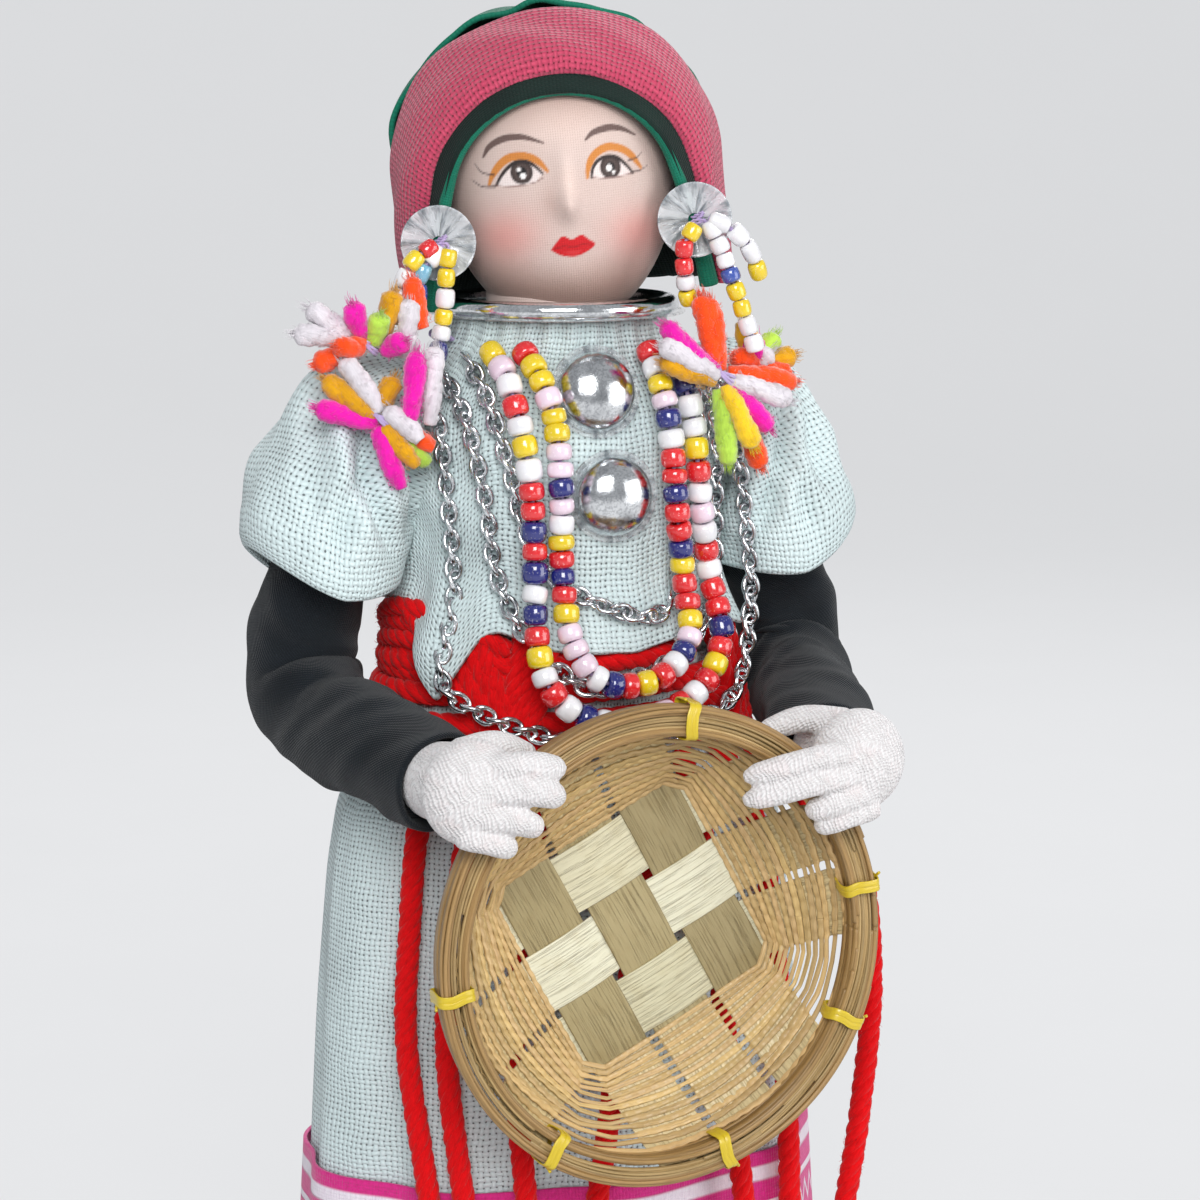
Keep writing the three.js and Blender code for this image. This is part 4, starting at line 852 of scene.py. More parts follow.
def add_sleeve(key):
    arm = ARMS[key]
    side = arm["side"]
    centre = through([
        (side * 17.5, 0.4, SHOULDER_Z + 2.5), (arm["shoulder"], -0.4, SHOULDER_Z - 0.5),
        (arm["sleeve"], -2, SHOULDER_Z - 9), (arm["cuff"], -3.1, CUFF_Z + 6),
        (arm["cuff"] + side * 0.6, -3.5, CUFF_Z),
    ], count=64)
    _, across, over = frames_along(centre, up=(0, -1, 0))
    share = np.linspace(0, 1, len(centre))
    radius = np.interp(share, [0, 0.16, 0.36, 0.62, 0.85, 0.96, 1], [6.4, 8.6, 10.6, 11.6, 12.1, 11.7, 11.3])
    columns = 220
    angle = np.linspace(0, TURN, columns, endpoint=False)
    rings = []
    for i, middle in enumerate(centre):
        s = share[i]
        amount = math.sin(math.pi * min(1, s * 1.06)) ** 0.6
        fold = 0.75 * np.sin(3 * angle + 7.5 * s + side) * np.sin(4.2 * s * math.pi * 0.5 + angle)
        fold += 0.4 * np.sin(5 * angle - 9 * s + 1.7 * side)
        fold += 0.85 * (1 - s) ** 1.4 * np.sin(8 * angle + 5 * s) * min(1, s * 4)
        fold += 0.12 * np.sin(11 * angle + 14 * s)
        fold -= creases(angle, s, side)
        out = radius[i] + fold * amount * (1 - 0.55 * max(0, (s - 0.8) / 0.2))
        ring = middle + across[i] * (out * np.cos(angle))[:, None] + over[i] * (out * np.sin(angle))[:, None]
        outward = (ring[:, 0] - arm["cuff"]) * side / 11
        drop = max(0.0, (s - 0.5) / 0.5)
        ring[:, 2] += drop * (
            6 * np.clip(outward, 0, 1.1) ** 1.4 + 2.6 * np.clip(-outward, 0, 1.1) ** 2 - 0.8)
        rings.append(ring)
    rings = np.asarray(rings)
    last = rings[-1]
    middle = last.mean(axis=0)
    tuck = [
        middle + (last - middle) * scale + (0, 0, lift)
        for scale, lift in ((0.975, -0.35), (0.93, -0.1), (0.915, 2.0))]
    shape = Shape().grid(np.concatenate([rings, tuck]), wrap=True)
    piece = thicken(shape.made(f"{key}_gauze_sleeve", white_gauze, "root", [f"{key}_sleeve"], "white_gauze"),
        0.45)


add_skirt()
add_bodice()
add_sleeve("right")
add_sleeve("left")


# Black undersleeves and forearms: one stuffed cloth tube on each side

def wrist_of(side):
    return Vector((side * (GRIP.x + 4.4), GRIP.y + 9.5, GRIP.z + 1.2))


def add_arm(key):
    arm = ARMS[key]
    side = arm["side"]
    wrist = wrist_of(side)
    middle = (arm["elbow"] * 0.35 + wrist.x * 0.65 + side * 2.5, (ELBOW[0] + wrist.y) / 2,
        (ELBOW[1] + wrist.z) / 2 - 1)
    centre = through([
        (arm["shoulder"], 0, SHOULDER_Z - 2), (arm["sleeve"], 0, 152.2), (arm["elbow"], ELBOW[0] - 1.2, 137),
        (arm["elbow"] * 1.0, ELBOW[0] - 2.5, 130.6), ((arm["elbow"] + middle[0]) / 2, -7.2, 126.4), middle,
        tuple(wrist)], count=150)
    along, across, over = frames_along(centre, up=(0, 0, 1))
    share = np.linspace(0, 1, len(centre))
    radius = np.interp(share, [0, 0.08, 0.3, 0.48, 0.62, 0.8, 0.93, 1],
        [5.4, 6.8, 7.6, 8.2, 8.3, 7.9, 7.5, 7.1])
    columns = 140
    angle = np.linspace(0, TURN, columns, endpoint=False)
    rings = []
    for i in range(len(centre)):
        s = share[i]
        outward = np.cos(angle) * across[i][0] * side + np.sin(angle) * over[i][0] * side
        bent = math.exp(-((s - 0.55) / 0.16) ** 2)
        crease = 0.85 * bent * np.sin(38 * s + 1.2 * np.sin(2 * angle + side)) * (0.65 - 0.35 * outward)
        crease += (
            0.5 * np.sin(21 * s + 2.2 * np.sin(angle + 1) + side)
            * (0.5 + 0.5 * np.sin(3 * angle + 4 * s)))
        crease -= (
            1.1 * bent * np.exp(-(np.sin(17 * s + np.sin(angle + 2 * side)) / 0.35) ** 2)
            * (0.5 - 0.5 * outward))
        crease += (
            0.3 * np.sin(4 * angle + 11 * s)
            + 0.25 * np.sin(60 * s + 3 * angle) * np.sin(2 * angle + 17 * s) ** 2)
        out = radius[i] + crease * min(1, (1 - s) * 7 + 0.25)
        rings.append(
            centre[i] + across[i] * (out * np.cos(angle))[:, None] + over[i] * (out * np.sin(angle))[:, None])
    last = rings[-1]
    heart = last.mean(axis=0)
    tuck = [
        heart + (last - heart) * scale - along[-1] * back
        for scale, back in ((0.95, -0.4), (0.88, -0.1), (0.85, 2.5))]
    shape = Shape().grid(np.concatenate([rings, tuck]), wrap=True, caps=(True, True))
    nodes = [f"{key}_undersleeve", f"{key}_forearm"]
    piece = shape.made(f"{key}_black_sleeve", black_cloth, None, nodes, "black_cloth", ride=False)
    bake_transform(piece)


add_arm("right")
add_arm("left")


# Sash of red yarn

def sash_point(turn):
    z = SASH_BOTTOM + turn * SASH_PITCH
    radius_x, radius_y = sash_centre(z)
    angle = TURN * turn - math.pi / 3
    return (radius_x * math.cos(angle), radius_y * math.sin(angle), z)


def on_sash(x, z, lift):
    return (x, front_of(sash_centre(z, lift), x, 0), z)


def add_sash():
    path = through([sash_point(i / 24) for i in range(73)], step=0.5)
    paths = [path]
    for k in range(5):
        arc = []
        for degrees in range(150, 246, 6):
            rise = math.sin(math.pi * (degrees - 150) / 96) ** 0.6
            a = math.radians(degrees)
            radius_x, radius_y = sash_centre(134, GAP + YARN / 2 - 0.5 * (k % 2))
            arc.append((radius_x * math.cos(a), radius_y * math.sin(a),
                132.0 + 0.3 * k + (0.6 + 2.05 * k) * rise))
        paths.append(through(arc, step=0.5))
    for first, last, spacing, foot in (
            (-24.5, -16.5, 2.3, -17), (-10.5, -13.2, 2.2, -13), (18.6, 23.0, 2.4, 23.5)):
        for k in range(4 if first < -20 else 3):
            top, low = first + spacing * k, last + spacing * 0.62 * k
            slack = rng.uniform(-0.5, 0.5, 3)
            paths.append(through([
                on_sash(top, 141.5 + slack[0], 0.1), on_sash(top * 0.8 + low * 0.2, 138, 1.7),
                on_sash(top * 0.45 + low * 0.55 + slack[1], 132, 2.75), on_sash(low, 125.5, 2.9),
                on_sash(foot + spacing * 0.5 * k, 120.5 + slack[2], 2.6)], step=0.5))
    shape, loose = Shape(), Shape()
    for number, path in enumerate(paths):
        spun(shape, path, YARN / 2 if number == 0 else 1.5, RED, pitch=8.5, plies=4, phase=number * 0.9)
        fuzz(loose, [path], YARN / 2, RED, 7, (0.4, 1.5), 0.03)
    shape.made("yarn_sash", red_yarn, "root", ["sash_winding"], "red_yarn")
    loose.made("yarn_sash_fuzz", red_yarn, "root", slot="red_yarn")


add_sash()


# Hem band: magenta cloth with silver-white lines and zigzag stitching

def band_cloth():
    paint = Paint("pink_band")
    u, v = paint.cloth()
    where = paint.place(u, v)
    threads, _ = plain_weave(u, v, 0.5)
    shiny = paint.noise(paint.place(u * 4, v * 0.6), 1.0, 3.0)
    wave = abs((u / 3.2).fraction() * 2 - 1)
    zigzag = (1 - abs(v - 8.2 - wave * 3.2) / 0.75).rise(0.0, 0.4)
    second = (1 - abs(v - 3.4 - wave * 2.4) / 0.55).rise(0.0, 0.4)
    line = (1 - abs(v - 15.6) / 0.5).rise(0.0, 0.4)
    upper = (1 - abs(v - 18.6) / 1.4).rise(0.0, 0.4)
    lower = (1 - abs(v - 13.6) / 0.7).rise(0.0, 0.4)
    silver = paint.mix(shiny, rgb(214, 196, 214), rgb(250, 244, 250))
    magenta = paint.mix(paint.noise(where, 1.4, 3.0), rgb(232, 20, 146), rgb(186, 10, 104))
    colour = paint.mix(zigzag.most(second).most(lower), magenta, silver)
    colour = paint.mix(upper, colour, silver)
    colour = paint.mix(line, colour, magenta)
    raised = zigzag.most(second).most(lower).most(upper) * 0.8 + threads * 0.3 + shiny * 0.3
    return paint.finish(colour, 0.7, paint.bump(raised, 0.3), Sheen_Weight=0.3)


def add_band():
    heights = np.linspace(-0.3, BAND_HEIGHT, 40)
    rings = skirt_rings(np.clip(heights, 0, 96), lift=GAP + BAND_CLOTH, gathers=0.6)
    rings[:, :, 2] = (HEM + heights)[:, None]
    under = rings[:1].copy()
    under[:, :, :2] *= 0.985
    top = rings[-1:].copy()
    top[:, :, :2] *= 0.985
    shape = Shape().grid(np.concatenate([under, rings, top]), wrap=True)
    piece = thicken(shape.made("embroidered_band", band_cloth(), "root", ["hem_band"], "pink_band"), 0.4)


add_band()


# Head, in its own frame: it is turned to the doll's right and leans a little

HEAD_CENTRE = np.array((0.0, 0.0, COLLAR + 22))
HEAD_RADII = np.array((17.3, 17.5, 19.5))
CHIN_REACH = 24.0
HEAD_MATRIX = np.array(
    Matrix.Rotation(math.radians(-16), 3, "Z") @ Matrix.Rotation(math.radians(-5), 3, "Y"))


def from_head(points):
    return np.asarray(points, float) @ HEAD_MATRIX.T + HEAD_CENTRE


def near_line(x, z, points, width):
    """1 on a painted stroke through points and 0 off it. width is one number or one for each point"""
    points = np.asarray(points, float)
    path = through(np.column_stack([points, np.zeros(len(points))]), count=60)[:, :2]
    width = np.interp(np.linspace(0, 1, 60), np.linspace(0, 1, np.size(width)), np.atleast_1d(width))
    best = np.full(x.shape, -9.0)
    for (ax, az), (bx, bz), wide in zip(path, path[1:], width):
        dx, dz = bx - ax, bz - az
        t = np.clip(((x - ax) * dx + (z - az) * dz) / (dx * dx + dz * dz), 0, 1)
        best = np.maximum(best, wide / 2 - np.hypot(x - ax - t * dx, z - az - t * dz))
    return np.clip(0.5 + best / 0.16, 0, 1)


def in_outline(x, z, points, smooth=True):
    """1 inside a painted outline and 0 outside it"""
    points = np.asarray(points, float)
    if smooth:
        ring = np.vstack([points, points[:1]])
        points = through(np.column_stack([ring, np.zeros(len(ring))]), count=80)[:-1, :2]
    inside = np.zeros(x.shape, bool)
    nearest = np.full(x.shape, 1e9)
    for (ax, az), (bx, bz) in zip(points, np.roll(points, -1, axis=0)):
        crosses = (az > z) != (bz > z)
        inside ^= crosses & (x < (bx - ax) * (z - az) / (bz - az + 1e-12) + ax)
        dx, dz = bx - ax, bz - az
        t = np.clip(((x - ax) * dx + (z - az) * dz) / (dx * dx + dz * dz + 1e-12), 0, 1)
        nearest = np.minimum(nearest, np.hypot(x - ax - t * dx, z - az - t * dz))
    return np.clip(0.5 + np.where(inside, nearest, -nearest) / 0.16, 0, 1)


EYES = {
    "right": {
        "brow": [(-10.8, 2.1), (-10, 3.3), (-8.7, 4.1), (-7.2, 4.5), (-5.1, 4.4), (-3.4, 3.8), (-2.4, 3.4)],
        "shadow": [(-10.35, -1.8), (-9.8, -0.6), (-8.6, 0.9), (-7.3, 1.7), (-5.9, 1.9), (-4.35, 1.55),
        (-3.2, 0.75), (-2.2, -0.5)],
        "upper": [(-9.4, -2), (-8.6, -0.7), (-7.4, 0.5), (-6.15, 1.1), (-4.8, 0.95), (-3.8, 0.24),
        (-2.9, -0.8)],
        "lower": [(-9.4, -2), (-7.85, -2.2), (-5.7, -2.2), (-3.95, -1.9), (-2.9, -1.4)],
        "iris": (-5.75, -0.4, 1.55),
        "lights": [(-5.6, -0.9, 0.42), (-6.1, 0.0, 0.3)],
        "lashes": [[(-9.6, -0.5), (-11.2, 0), (-12.1, 1.3)], [(-9.6, -2.1), (-11.3, -2), (-12.65, -1)]],
    },
    "left": {
        "brow": [(3.5, 3.3), (4.5, 4.1), (5.8, 4.5), (7.3, 4.65), (8.9, 4.3), (10.7, 3.3)],
        "shadow": [(3.3, -1.95), (3.5, -0.7), (4.3, 0.85), (5.7, 1.8), (7, 2), (8.65, 1.5), (9.9, 0.5),
        (11.15, -1.3)],
        "upper": [(3.9, -1.9), (4.2, -0.7), (5, 0.25), (6.3, 0.7), (7.6, 0.5), (8.8, -0.5), (9.9, -1.9)],
        "lower": [(4.1, -2), (5.35, -2.2), (7.2, -2.3), (8.7, -2.1), (9.9, -1.9)],
        "iris": (6.7, -0.8, 1.5),
        "lights": [(6.5, -0.85, 0.45), (7.1, -1.5, 0.25)],
        "lashes": [[(9.45, -0.1), (10.6, 0.1), (11.45, 0.75)], [(9.7, -1.85), (11, -1.7), (12.1, -1.2)]],
    },
}
LIPS = [(-2.6, -11.6), (-1.7, -10.5), (-0.8, -9.75), (0.4, -10.3), (1.9, -9.8), (2.8, -10.5), (3.7, -11.3),
        (2.4, -12.3), (0.5, -12.8), (-1.4, -12.4)]


FACE = rgb(213, 195, 188)[:3]


def painted_face(x, z, front):
    """Colour of the painted face at places across and up, with painted shade towards its edges, on the
    forehead under the hood, under the chin and beside the nose, and painted highlights on the brow and down
    the nose
    """
    colour = np.empty((*x.shape, 3))
    colour[:] = FACE

    def lay(mask, paint):
        mask = (mask * front)[..., None]
        colour[:] = colour * (1 - mask) + np.asarray(paint[:3]) * mask

    # Painted shade: darker towards the edges of the face, on the forehead under the hood and under the chin
    brink = np.hypot(x / 16.5, (z + 2) / 17)
    lay(np.clip((brink - 0.66) / 0.34, 0, 1) * 0.5, rgb(168, 128, 116))
    lay(np.clip((z - 4.5) / 7.5, 0, 1) * 0.82, rgb(150, 112, 100))
    lay(np.clip((-z - 12.5) / 8, 0, 1) * 0.55, rgb(176, 138, 122))
    for cx, cz in ((-8.75, -9.2), (10.15, -10.4)):
        lay(0.5 * np.exp(-((x - cx) / 4.6) ** 2 - ((z - cz) / 3.6) ** 2), rgb(238, 140, 134))
    # Painted highlights on the brow and down the nose, and painted shade beside the nose
    lay(0.3 * np.exp(-((x - 0.1) / 7) ** 2 - ((z - 6) / 3) ** 2), rgb(240, 214, 202))
    lay(0.3 * np.exp(-((x + 2.3) / 1.3) ** 2 - ((z + 5) / 2.4) ** 2), rgb(176, 140, 128))
    lay(0.4 * np.exp(-((x - 0.6) / 1.0) ** 2 - ((z + 2.2) / 3.4) ** 2), rgb(252, 232, 222))
    for eye in EYES.values():
        lay(near_line(x, z, eye["brow"], [0.3, 0.75, 0.95, 0.95, 0.8, 0.5, 0.25]) * 0.9, rgb(84, 60, 56))
        lay(near_line(x, z, eye["shadow"], [0.4, 1.0, 1.15, 1.1, 1.0, 0.4]) * 0.92, rgb(208, 128, 18))
        outline = eye["upper"] + eye["lower"][::-1][1:-1]
        white = in_outline(x, z, outline, smooth=False)
        lay(white, rgb(236, 226, 224))
        ix, iz, radius = eye["iris"]
        away = np.hypot(x - ix, (z - iz) * 0.94)
        lay(white * np.clip(0.5 + (radius - away) / 0.2, 0, 1), rgb(60, 48, 46))
        lay(white * np.clip(0.5 + (radius * 0.72 - away) / 0.3, 0, 1) * 0.6, rgb(92, 78, 74))
        lay(white * np.clip(0.5 + (radius * 0.45 - away) / 0.2, 0, 1), rgb(24, 20, 22))
        lay(near_line(x, z, eye["upper"], [0.35, 0.5, 0.55, 0.5, 0.3]), rgb(46, 36, 36))
        lay(near_line(x, z, eye["lower"], 0.16) * 0.75, rgb(120, 84, 78))
        for lash in eye["lashes"]:
            lay(near_line(x, z, lash, [0.32, 0.2, 0.08]) * 0.85, rgb(66, 52, 52))
        for lx, lz, size in eye["lights"]:
            lay(np.clip(0.5 + (size - np.hypot(x - lx, z - lz)) / 0.15, 0, 1), rgb(252, 252, 252))
    lay(in_outline(x, z, LIPS), rgb(206, 12, 26))
    lay(near_line(x, z, [(-2.2, -11.5), (-0.6, -11.2), (0.5, -11.45), (1.8, -11.2), (3.2, -11.3)], 0.2) * 0.6,
        rgb(120, 4, 14))
    lay(in_outline(x, z, [(-0.9, -12.1), (0.5, -11.9), (1.8, -12.1), (0.5, -12.5)]) * 0.25, rgb(240, 90, 90))
    return colour


def face_cloth():
    paint = Paint("peach_cloth")
    u, v = paint.cloth()
    where = paint.place(u, v)
    threads, _ = plain_weave(u, v, 0.34)
    clouds = paint.noise(where, 0.15, 3.0)
    colour = paint.mix(clouds * 0.22, paint.tint(), rgb(222, 176, 156), "MULTIPLY")
    # Painted shade between the threads
    colour = paint.mix((1 - threads) * 0.16, colour, rgb(190, 140, 120), "MULTIPLY")
    relief = paint.bump(threads + clouds * 0.4, 0.05)
    return paint.finish(colour, 0.5 + clouds * 0.2, relief, Sheen_Weight=0.25, Specular_IOR_Level=0.35)


peach_cloth = face_cloth()


def skull_points(x, z, lift=0.0):
    """Front of the face at places across and up, with its nose, cheeks, chin and eye hollows"""
    rx, ry, rz = HEAD_RADII + lift
    share = np.clip(1 - (x / rx) ** 2 - (z / np.where(z < 0, CHIN_REACH + lift, rz)) ** 2, 0, 1)
    out = ry * np.sqrt(share)
    nose = 1.75 * np.exp(-(((x - 0.4) / 1.55) ** 2) - ((z + 5.6) / 2.1) ** 2)
    nose += 0.55 * np.exp(-(((x - 0.3) / 1.5) ** 2) - ((z + 1.2) / 4.2) ** 2)
    cheeks = 0.3 * (np.exp(-((np.abs(x) - 8) / 4) ** 2 - ((z + 8) / 5) ** 2))
    chin = 0.45 * np.exp(-(((x - 0.3) / 4) ** 2) - ((z + 15.5) / 3) ** 2)
    hollows = 0.3 * (np.exp(-((np.abs(x) - 6) / 3.4) ** 2 - ((z - 0.5) / 3) ** 2))
    mouth = 0.18 * np.exp(-(((x - 0.5) / 2.6) ** 2) - ((z + 11.2) / 1.6) ** 2)
    return out + (nose + cheeks + chin - hollows + mouth) * np.clip(share * 3, 0, 1)


def add_head():
    turn = np.linspace(-1, 1, 250)
    rows = np.linspace(-1, 1, 280)
    sideways = np.sin(turn * math.pi / 2 * 0.985)
    rise = np.sin(rows * math.pi / 2 * 0.985)
    z = np.broadcast_to((rise * np.where(rise < 0, CHIN_REACH, HEAD_RADII[2]))[:, None], (280, 250))
    x = sideways[None, :] * HEAD_RADII[0] * np.sqrt(1 - rise ** 2)[:, None]
    front = np.stack([x, -skull_points(x, z), z], axis=2)
    tint = painted_face(x, z, np.clip((front[..., 1] * -1 - 2) / 4, 0, 1))
    shape = Shape()
    shape.grid(from_head(front), tint=tint.reshape(-1, 3), places=np.stack([x, z], axis=2))
    turn = np.linspace(-1, 1, 60)
    rise = np.sin(np.linspace(-1, 1, 70) * math.pi / 2 * 0.985)
    xb = np.sin(-turn * math.pi / 2 * 0.985)[None, :] * HEAD_RADII[0] * np.sqrt(1 - rise ** 2)[:, None]
    zb = np.broadcast_to((rise * np.where(rise < 0, CHIN_REACH, HEAD_RADII[2]))[:, None], xb.shape)
    yb = HEAD_RADII[1] * np.sqrt(np.clip(1 - (xb / HEAD_RADII[0]) ** 2 - rise[:, None] ** 2, 0, 1))
    shape.grid(from_head(np.stack([xb, yb, zb], axis=2)), tint=FACE)
    piece = shape.made("painted_head", peach_cloth, "root", ["head"], "peach_cloth")
    neck = [(178.6, 10.3, 10.3, 0), (184, 10.2, 10.2, 0), (188, 10.2, 10.2, 0), (192, 9, 9, 0)]
    neck = stuffed(Shape(), neck, columns=64, dimples=0.08)
    neck.tints = [np.broadcast_to(FACE, (neck.count, 3))]
    neck = neck.made("stuffed_neck", peach_cloth, "root", ["neck_post"], "peach_cloth")


add_head()


# Hood: darker green lining with painted shade, crimson band in front and a green cap behind

HOOD_TILT = math.radians(17)
HOOD_EDGE = 11.8
HOOD_DROP = 19.0
BAND_WIDTH = 15.5


def hood_size(grow):
    return HEAD_RADII[0] + 4.2 + grow, HEAD_RADII[1] + 0.9 + grow, HEAD_RADII[2] + 0.9 + grow


def hood_curve(plane, grow, count):
    """Where a slanted plane meets the hood's dome, from its right lower end over the top to its left"""
    wx, wy, height = hood_size(grow)
    angle = np.linspace(-math.radians(172), math.radians(172), 900)
    low, high = np.zeros_like(angle), np.full_like(angle, 90.0)
    for _ in range(40):
        reach = (low + high) / 2
        x, q = reach * np.sin(angle), reach * np.cos(angle)
        y = plane * math.cos(HOOD_TILT) - q * math.sin(HOOD_TILT)
        z = plane * math.sin(HOOD_TILT) + q * math.cos(HOOD_TILT)
        inside = (x / wx) ** 2 + (y / wy) ** 2 + (np.maximum(z, 0) / height) ** 2 < 1
        low, high = np.where(inside, reach, low), np.where(inside, high, reach)
    curve = np.stack([x, y, z], axis=1)
    kept = curve[(z > -HOOD_DROP)]
    kept[0, 2] = kept[-1, 2] = -HOOD_DROP
    return even(kept, count=count)


def hood_dome(plane, grow, rows, columns, drop=HOOD_DROP):
    """Hood behind a slanted plane, as rows from a place high on its back out to its edges"""
    size = np.array(hood_size(grow))
    pole, across, away = np.array([(0, 0.64, 0.77), (1, 0, 0), (0, 0.77, -0.64)])
    bend = np.radians(np.linspace(0.3, 150, 500))[:, None]
    rings = np.empty((rows, columns, 3))
    for c, a in enumerate(np.linspace(0, TURN, columns, endpoint=False)):
        ray = pole * np.cos(bend) + (across * math.cos(a) + away * math.sin(a)) * np.sin(bend)
        line = ray / np.linalg.norm(np.maximum(ray, (-9, -9, 0)) / size, axis=1)[:, None]
        past = line[:, 1] * math.cos(HOOD_TILT) + line[:, 2] * math.sin(HOOD_TILT) < plane
        rings[:, c] = even(line[:(past | (line[:, 2] < -drop)).argmax()], count=rows)
    return rings


def crimson_cloth():
    paint = Paint("crimson_weave")
    u, v = paint.cloth()
    where = paint.place(u, v)
    drift = paint.noise(where, 0.25, 2.0)
    slub = paint.noise(paint.place(u * 0.3, v * 2.4), 0.9, 3.0)
    threads, hole = plain_weave(u + drift * 0.8, v + drift * 0.9, 0.82)
    gaps = (hole + (slub - 0.5) * 0.5).rise(0.3, 0.6)
    colour = paint.mix(slub, rgb(182, 48, 84), rgb(222, 92, 120))
    # Painted shade: the holes and the gaps between threads are darkened to deep crimson
    colour = paint.mix(gaps * 0.8, colour, rgb(92, 14, 34))
    colour = paint.mix((1 - threads) * 0.4, colour, rgb(112, 20, 44))
    relief = paint.bump(threads * (1 - gaps * 0.7) + paint.noise(where, 6.0, 2.0) * 0.3, 0.26)
    return paint.finish(colour, 0.9, relief, Sheen_Weight=0.3, Specular_IOR_Level=0.2)


def satin(name, colour, shade):
    paint = Paint(name)
    u, v = paint.cloth()
    where = paint.place(u, v)
    threads, _ = plain_weave(u, v, 0.36)
    clouds = paint.noise(where, 0.14, 3.0)
    mixed = paint.mix(clouds, colour, shade)
    mixed = paint.mix((1 - threads) * 0.35, mixed, shade)
    return paint.finish(mixed, 0.6 + clouds * 0.25, paint.bump(threads + clouds, 0.1), Sheen_Weight=0.08,
        Specular_IOR_Level=0.3)


def cloth_of(rings, wide=None, long=None):
    """Width and length of cloth cut to the size of its rings of points, worked out and not kept"""
    across = np.linalg.norm(np.diff(rings, axis=1), axis=2)
    down = np.linalg.norm(np.diff(rings, axis=0), axis=2)
    wide = wide or across.sum(axis=1).max() * 1.01
    long = long or down.sum(axis=0).max() * 1.01


def add_hood():
    band = crimson_cloth()
    outer, inner = 0.7 + GAP + 1.6, 0.7 + GAP
    roll = (outer - inner) / 2
    section = [(0.9, inner), (0.9, outer - 0.3), (0.6, outer)]
    section += [(p, outer + 0.18 * math.sin(p * 0.5)) for p in np.linspace(0, -HOOD_EDGE + 1.2, 26)]
    for turn in np.linspace(90, 270, 11):
        a = math.radians(turn)
        section.append((-HOOD_EDGE + 0.9 + 0.9 * math.cos(a), inner + roll + (roll + 0.1) * math.sin(a)))
    section += [(p, inner) for p in np.linspace(-HOOD_EDGE + 1.5, 0.6, 8)]
    count = 260
    rings = []
    for plane, grow in section:
        ring = hood_curve(plane, grow, count)
        t = np.linspace(0, 1, count)
        fullness = 0.22 * np.sin(t * 23 + plane * 0.3) + 0.16 * np.sin(t * 41 + plane * 0.7)
        heart = np.array((0, 0, -2.0))
        rings.append(ring + unit(ring - heart) * (fullness * min(1, max(0, grow - inner + 0.3)))[:, None])
    rings = np.asarray(rings)
    piece = Shape().grid(from_head(rings), closed=True).made(
        "crimson_hood_band", band, "root", ["hood_band"], "crimson_weave")
    cloth_of(rings[2:36])

    cap = satin("green_cloth", rgb(4, 134, 104), rgb(0, 84, 66))
    rings = hood_dome(-HOOD_EDGE + BAND_WIDTH + GAP, 0.7 + GAP + 1.1, 60, 220)
    azimuth = np.linspace(0, TURN, 220, endpoint=False)
    down = np.linspace(0, 1, 60)[:, None]
    ease = 0.35 * down * np.sin(9 * azimuth + 3 * down) + 0.2 * np.sin(14 * azimuth + 6 * down) * down
    ease -= 0.7 * np.clip(rings[..., 0] / 15, 0, 1)
    rings += unit(rings * (1, 1, 0.4)) * ease[..., None]
    rings[..., 2] = np.maximum(rings[..., 2], -HOOD_DROP)
    piece = Shape().grid(from_head(rings), wrap=True, caps=(True, False)).made(
        "green_hood_cap", cap, "root", ["hood_cap"], "green_cloth")
    thicken(piece, 0.8)
    cloth_of(rings)

    # Painted shade: the lining's own darker green is darkened further for the shade inside the hood
    lining = satin("dark_green_cloth", rgb(4, 42, 34), rgb(1, 14, 12))
    rings = hood_dome(-HOOD_EDGE - 1.4, 0.65, 50, 220)
    piece = Shape().grid(from_head(rings), wrap=True, caps=(True, False)).made(
        "green_hood_lining", lining, "root", ["hood_lining"], "dark_green_cloth")
    thicken(piece, 0.5)
    cloth_of(rings)
    edge = hood_curve(-HOOD_EDGE - 0.9, 0.35, 260)
    piping = Shape().tube(from_head(edge), 0.5 + 0.9 * np.abs(np.linspace(-1, 1, 260)) ** 1.5, 12)
    piping.made("green_hood_piping", cap, "root", slot="green_cloth")


add_hood()


# Bamboo tray, in its own frame: across, up and towards the viewer from the middle of its rim

TRAY_RIM = (30.05, 31.75)
FLOOR_HALF = 15.8
FLOOR_TURN = math.radians(28)
FLOOR_CORNER = FLOOR_HALF * 1.3
STRIP_PITCH = FLOOR_HALF * 2 / 3
STRIP_WIDTH = STRIP_PITCH - 1.4
RIB = STRIP_WIDTH / 9
WALL_ROWS = [(0, 0.0), (0.16, 4.56), (0.55, 8.64), (1.0, 12.0), (1.4, 12.0)]
WEFT_ROWS = 14


def from_tray(points):
    points = np.asarray(points, float)
    return np.stack([points[..., 0], TRAY.y - points[..., 2], TRAY.z + points[..., 1]], axis=-1)


def tray_share(x, y):
    """0 at the rim and 1 at the edge of the floor"""
    away = np.hypot(x, y) + 1e-6
    c, s = x / away, y / away
    rim = 1 / np.sqrt((c / TRAY_RIM[0]) ** 2 + (s / TRAY_RIM[1]) ** 2)
    turned = np.arctan2(s, c) - FLOOR_TURN
    floor = FLOOR_HALF / np.maximum(np.abs(np.cos(turned)), np.abs(np.sin(turned)))
    floor = np.minimum(floor, FLOOR_CORNER)
    return (rim - away) / (rim - floor)


def tray_depth(share):
    rows = np.asarray(WALL_ROWS)
    fine = np.linspace(-0.1, 1.4, 300)
    depth = np.interp(fine, rows[:, 0], rows[:, 1])
    weights = np.hanning(25)
    smooth = np.convolve(np.pad(depth, 12, mode="edge"), weights / weights.sum(), "valid")
    return np.interp(share, fine, smooth)


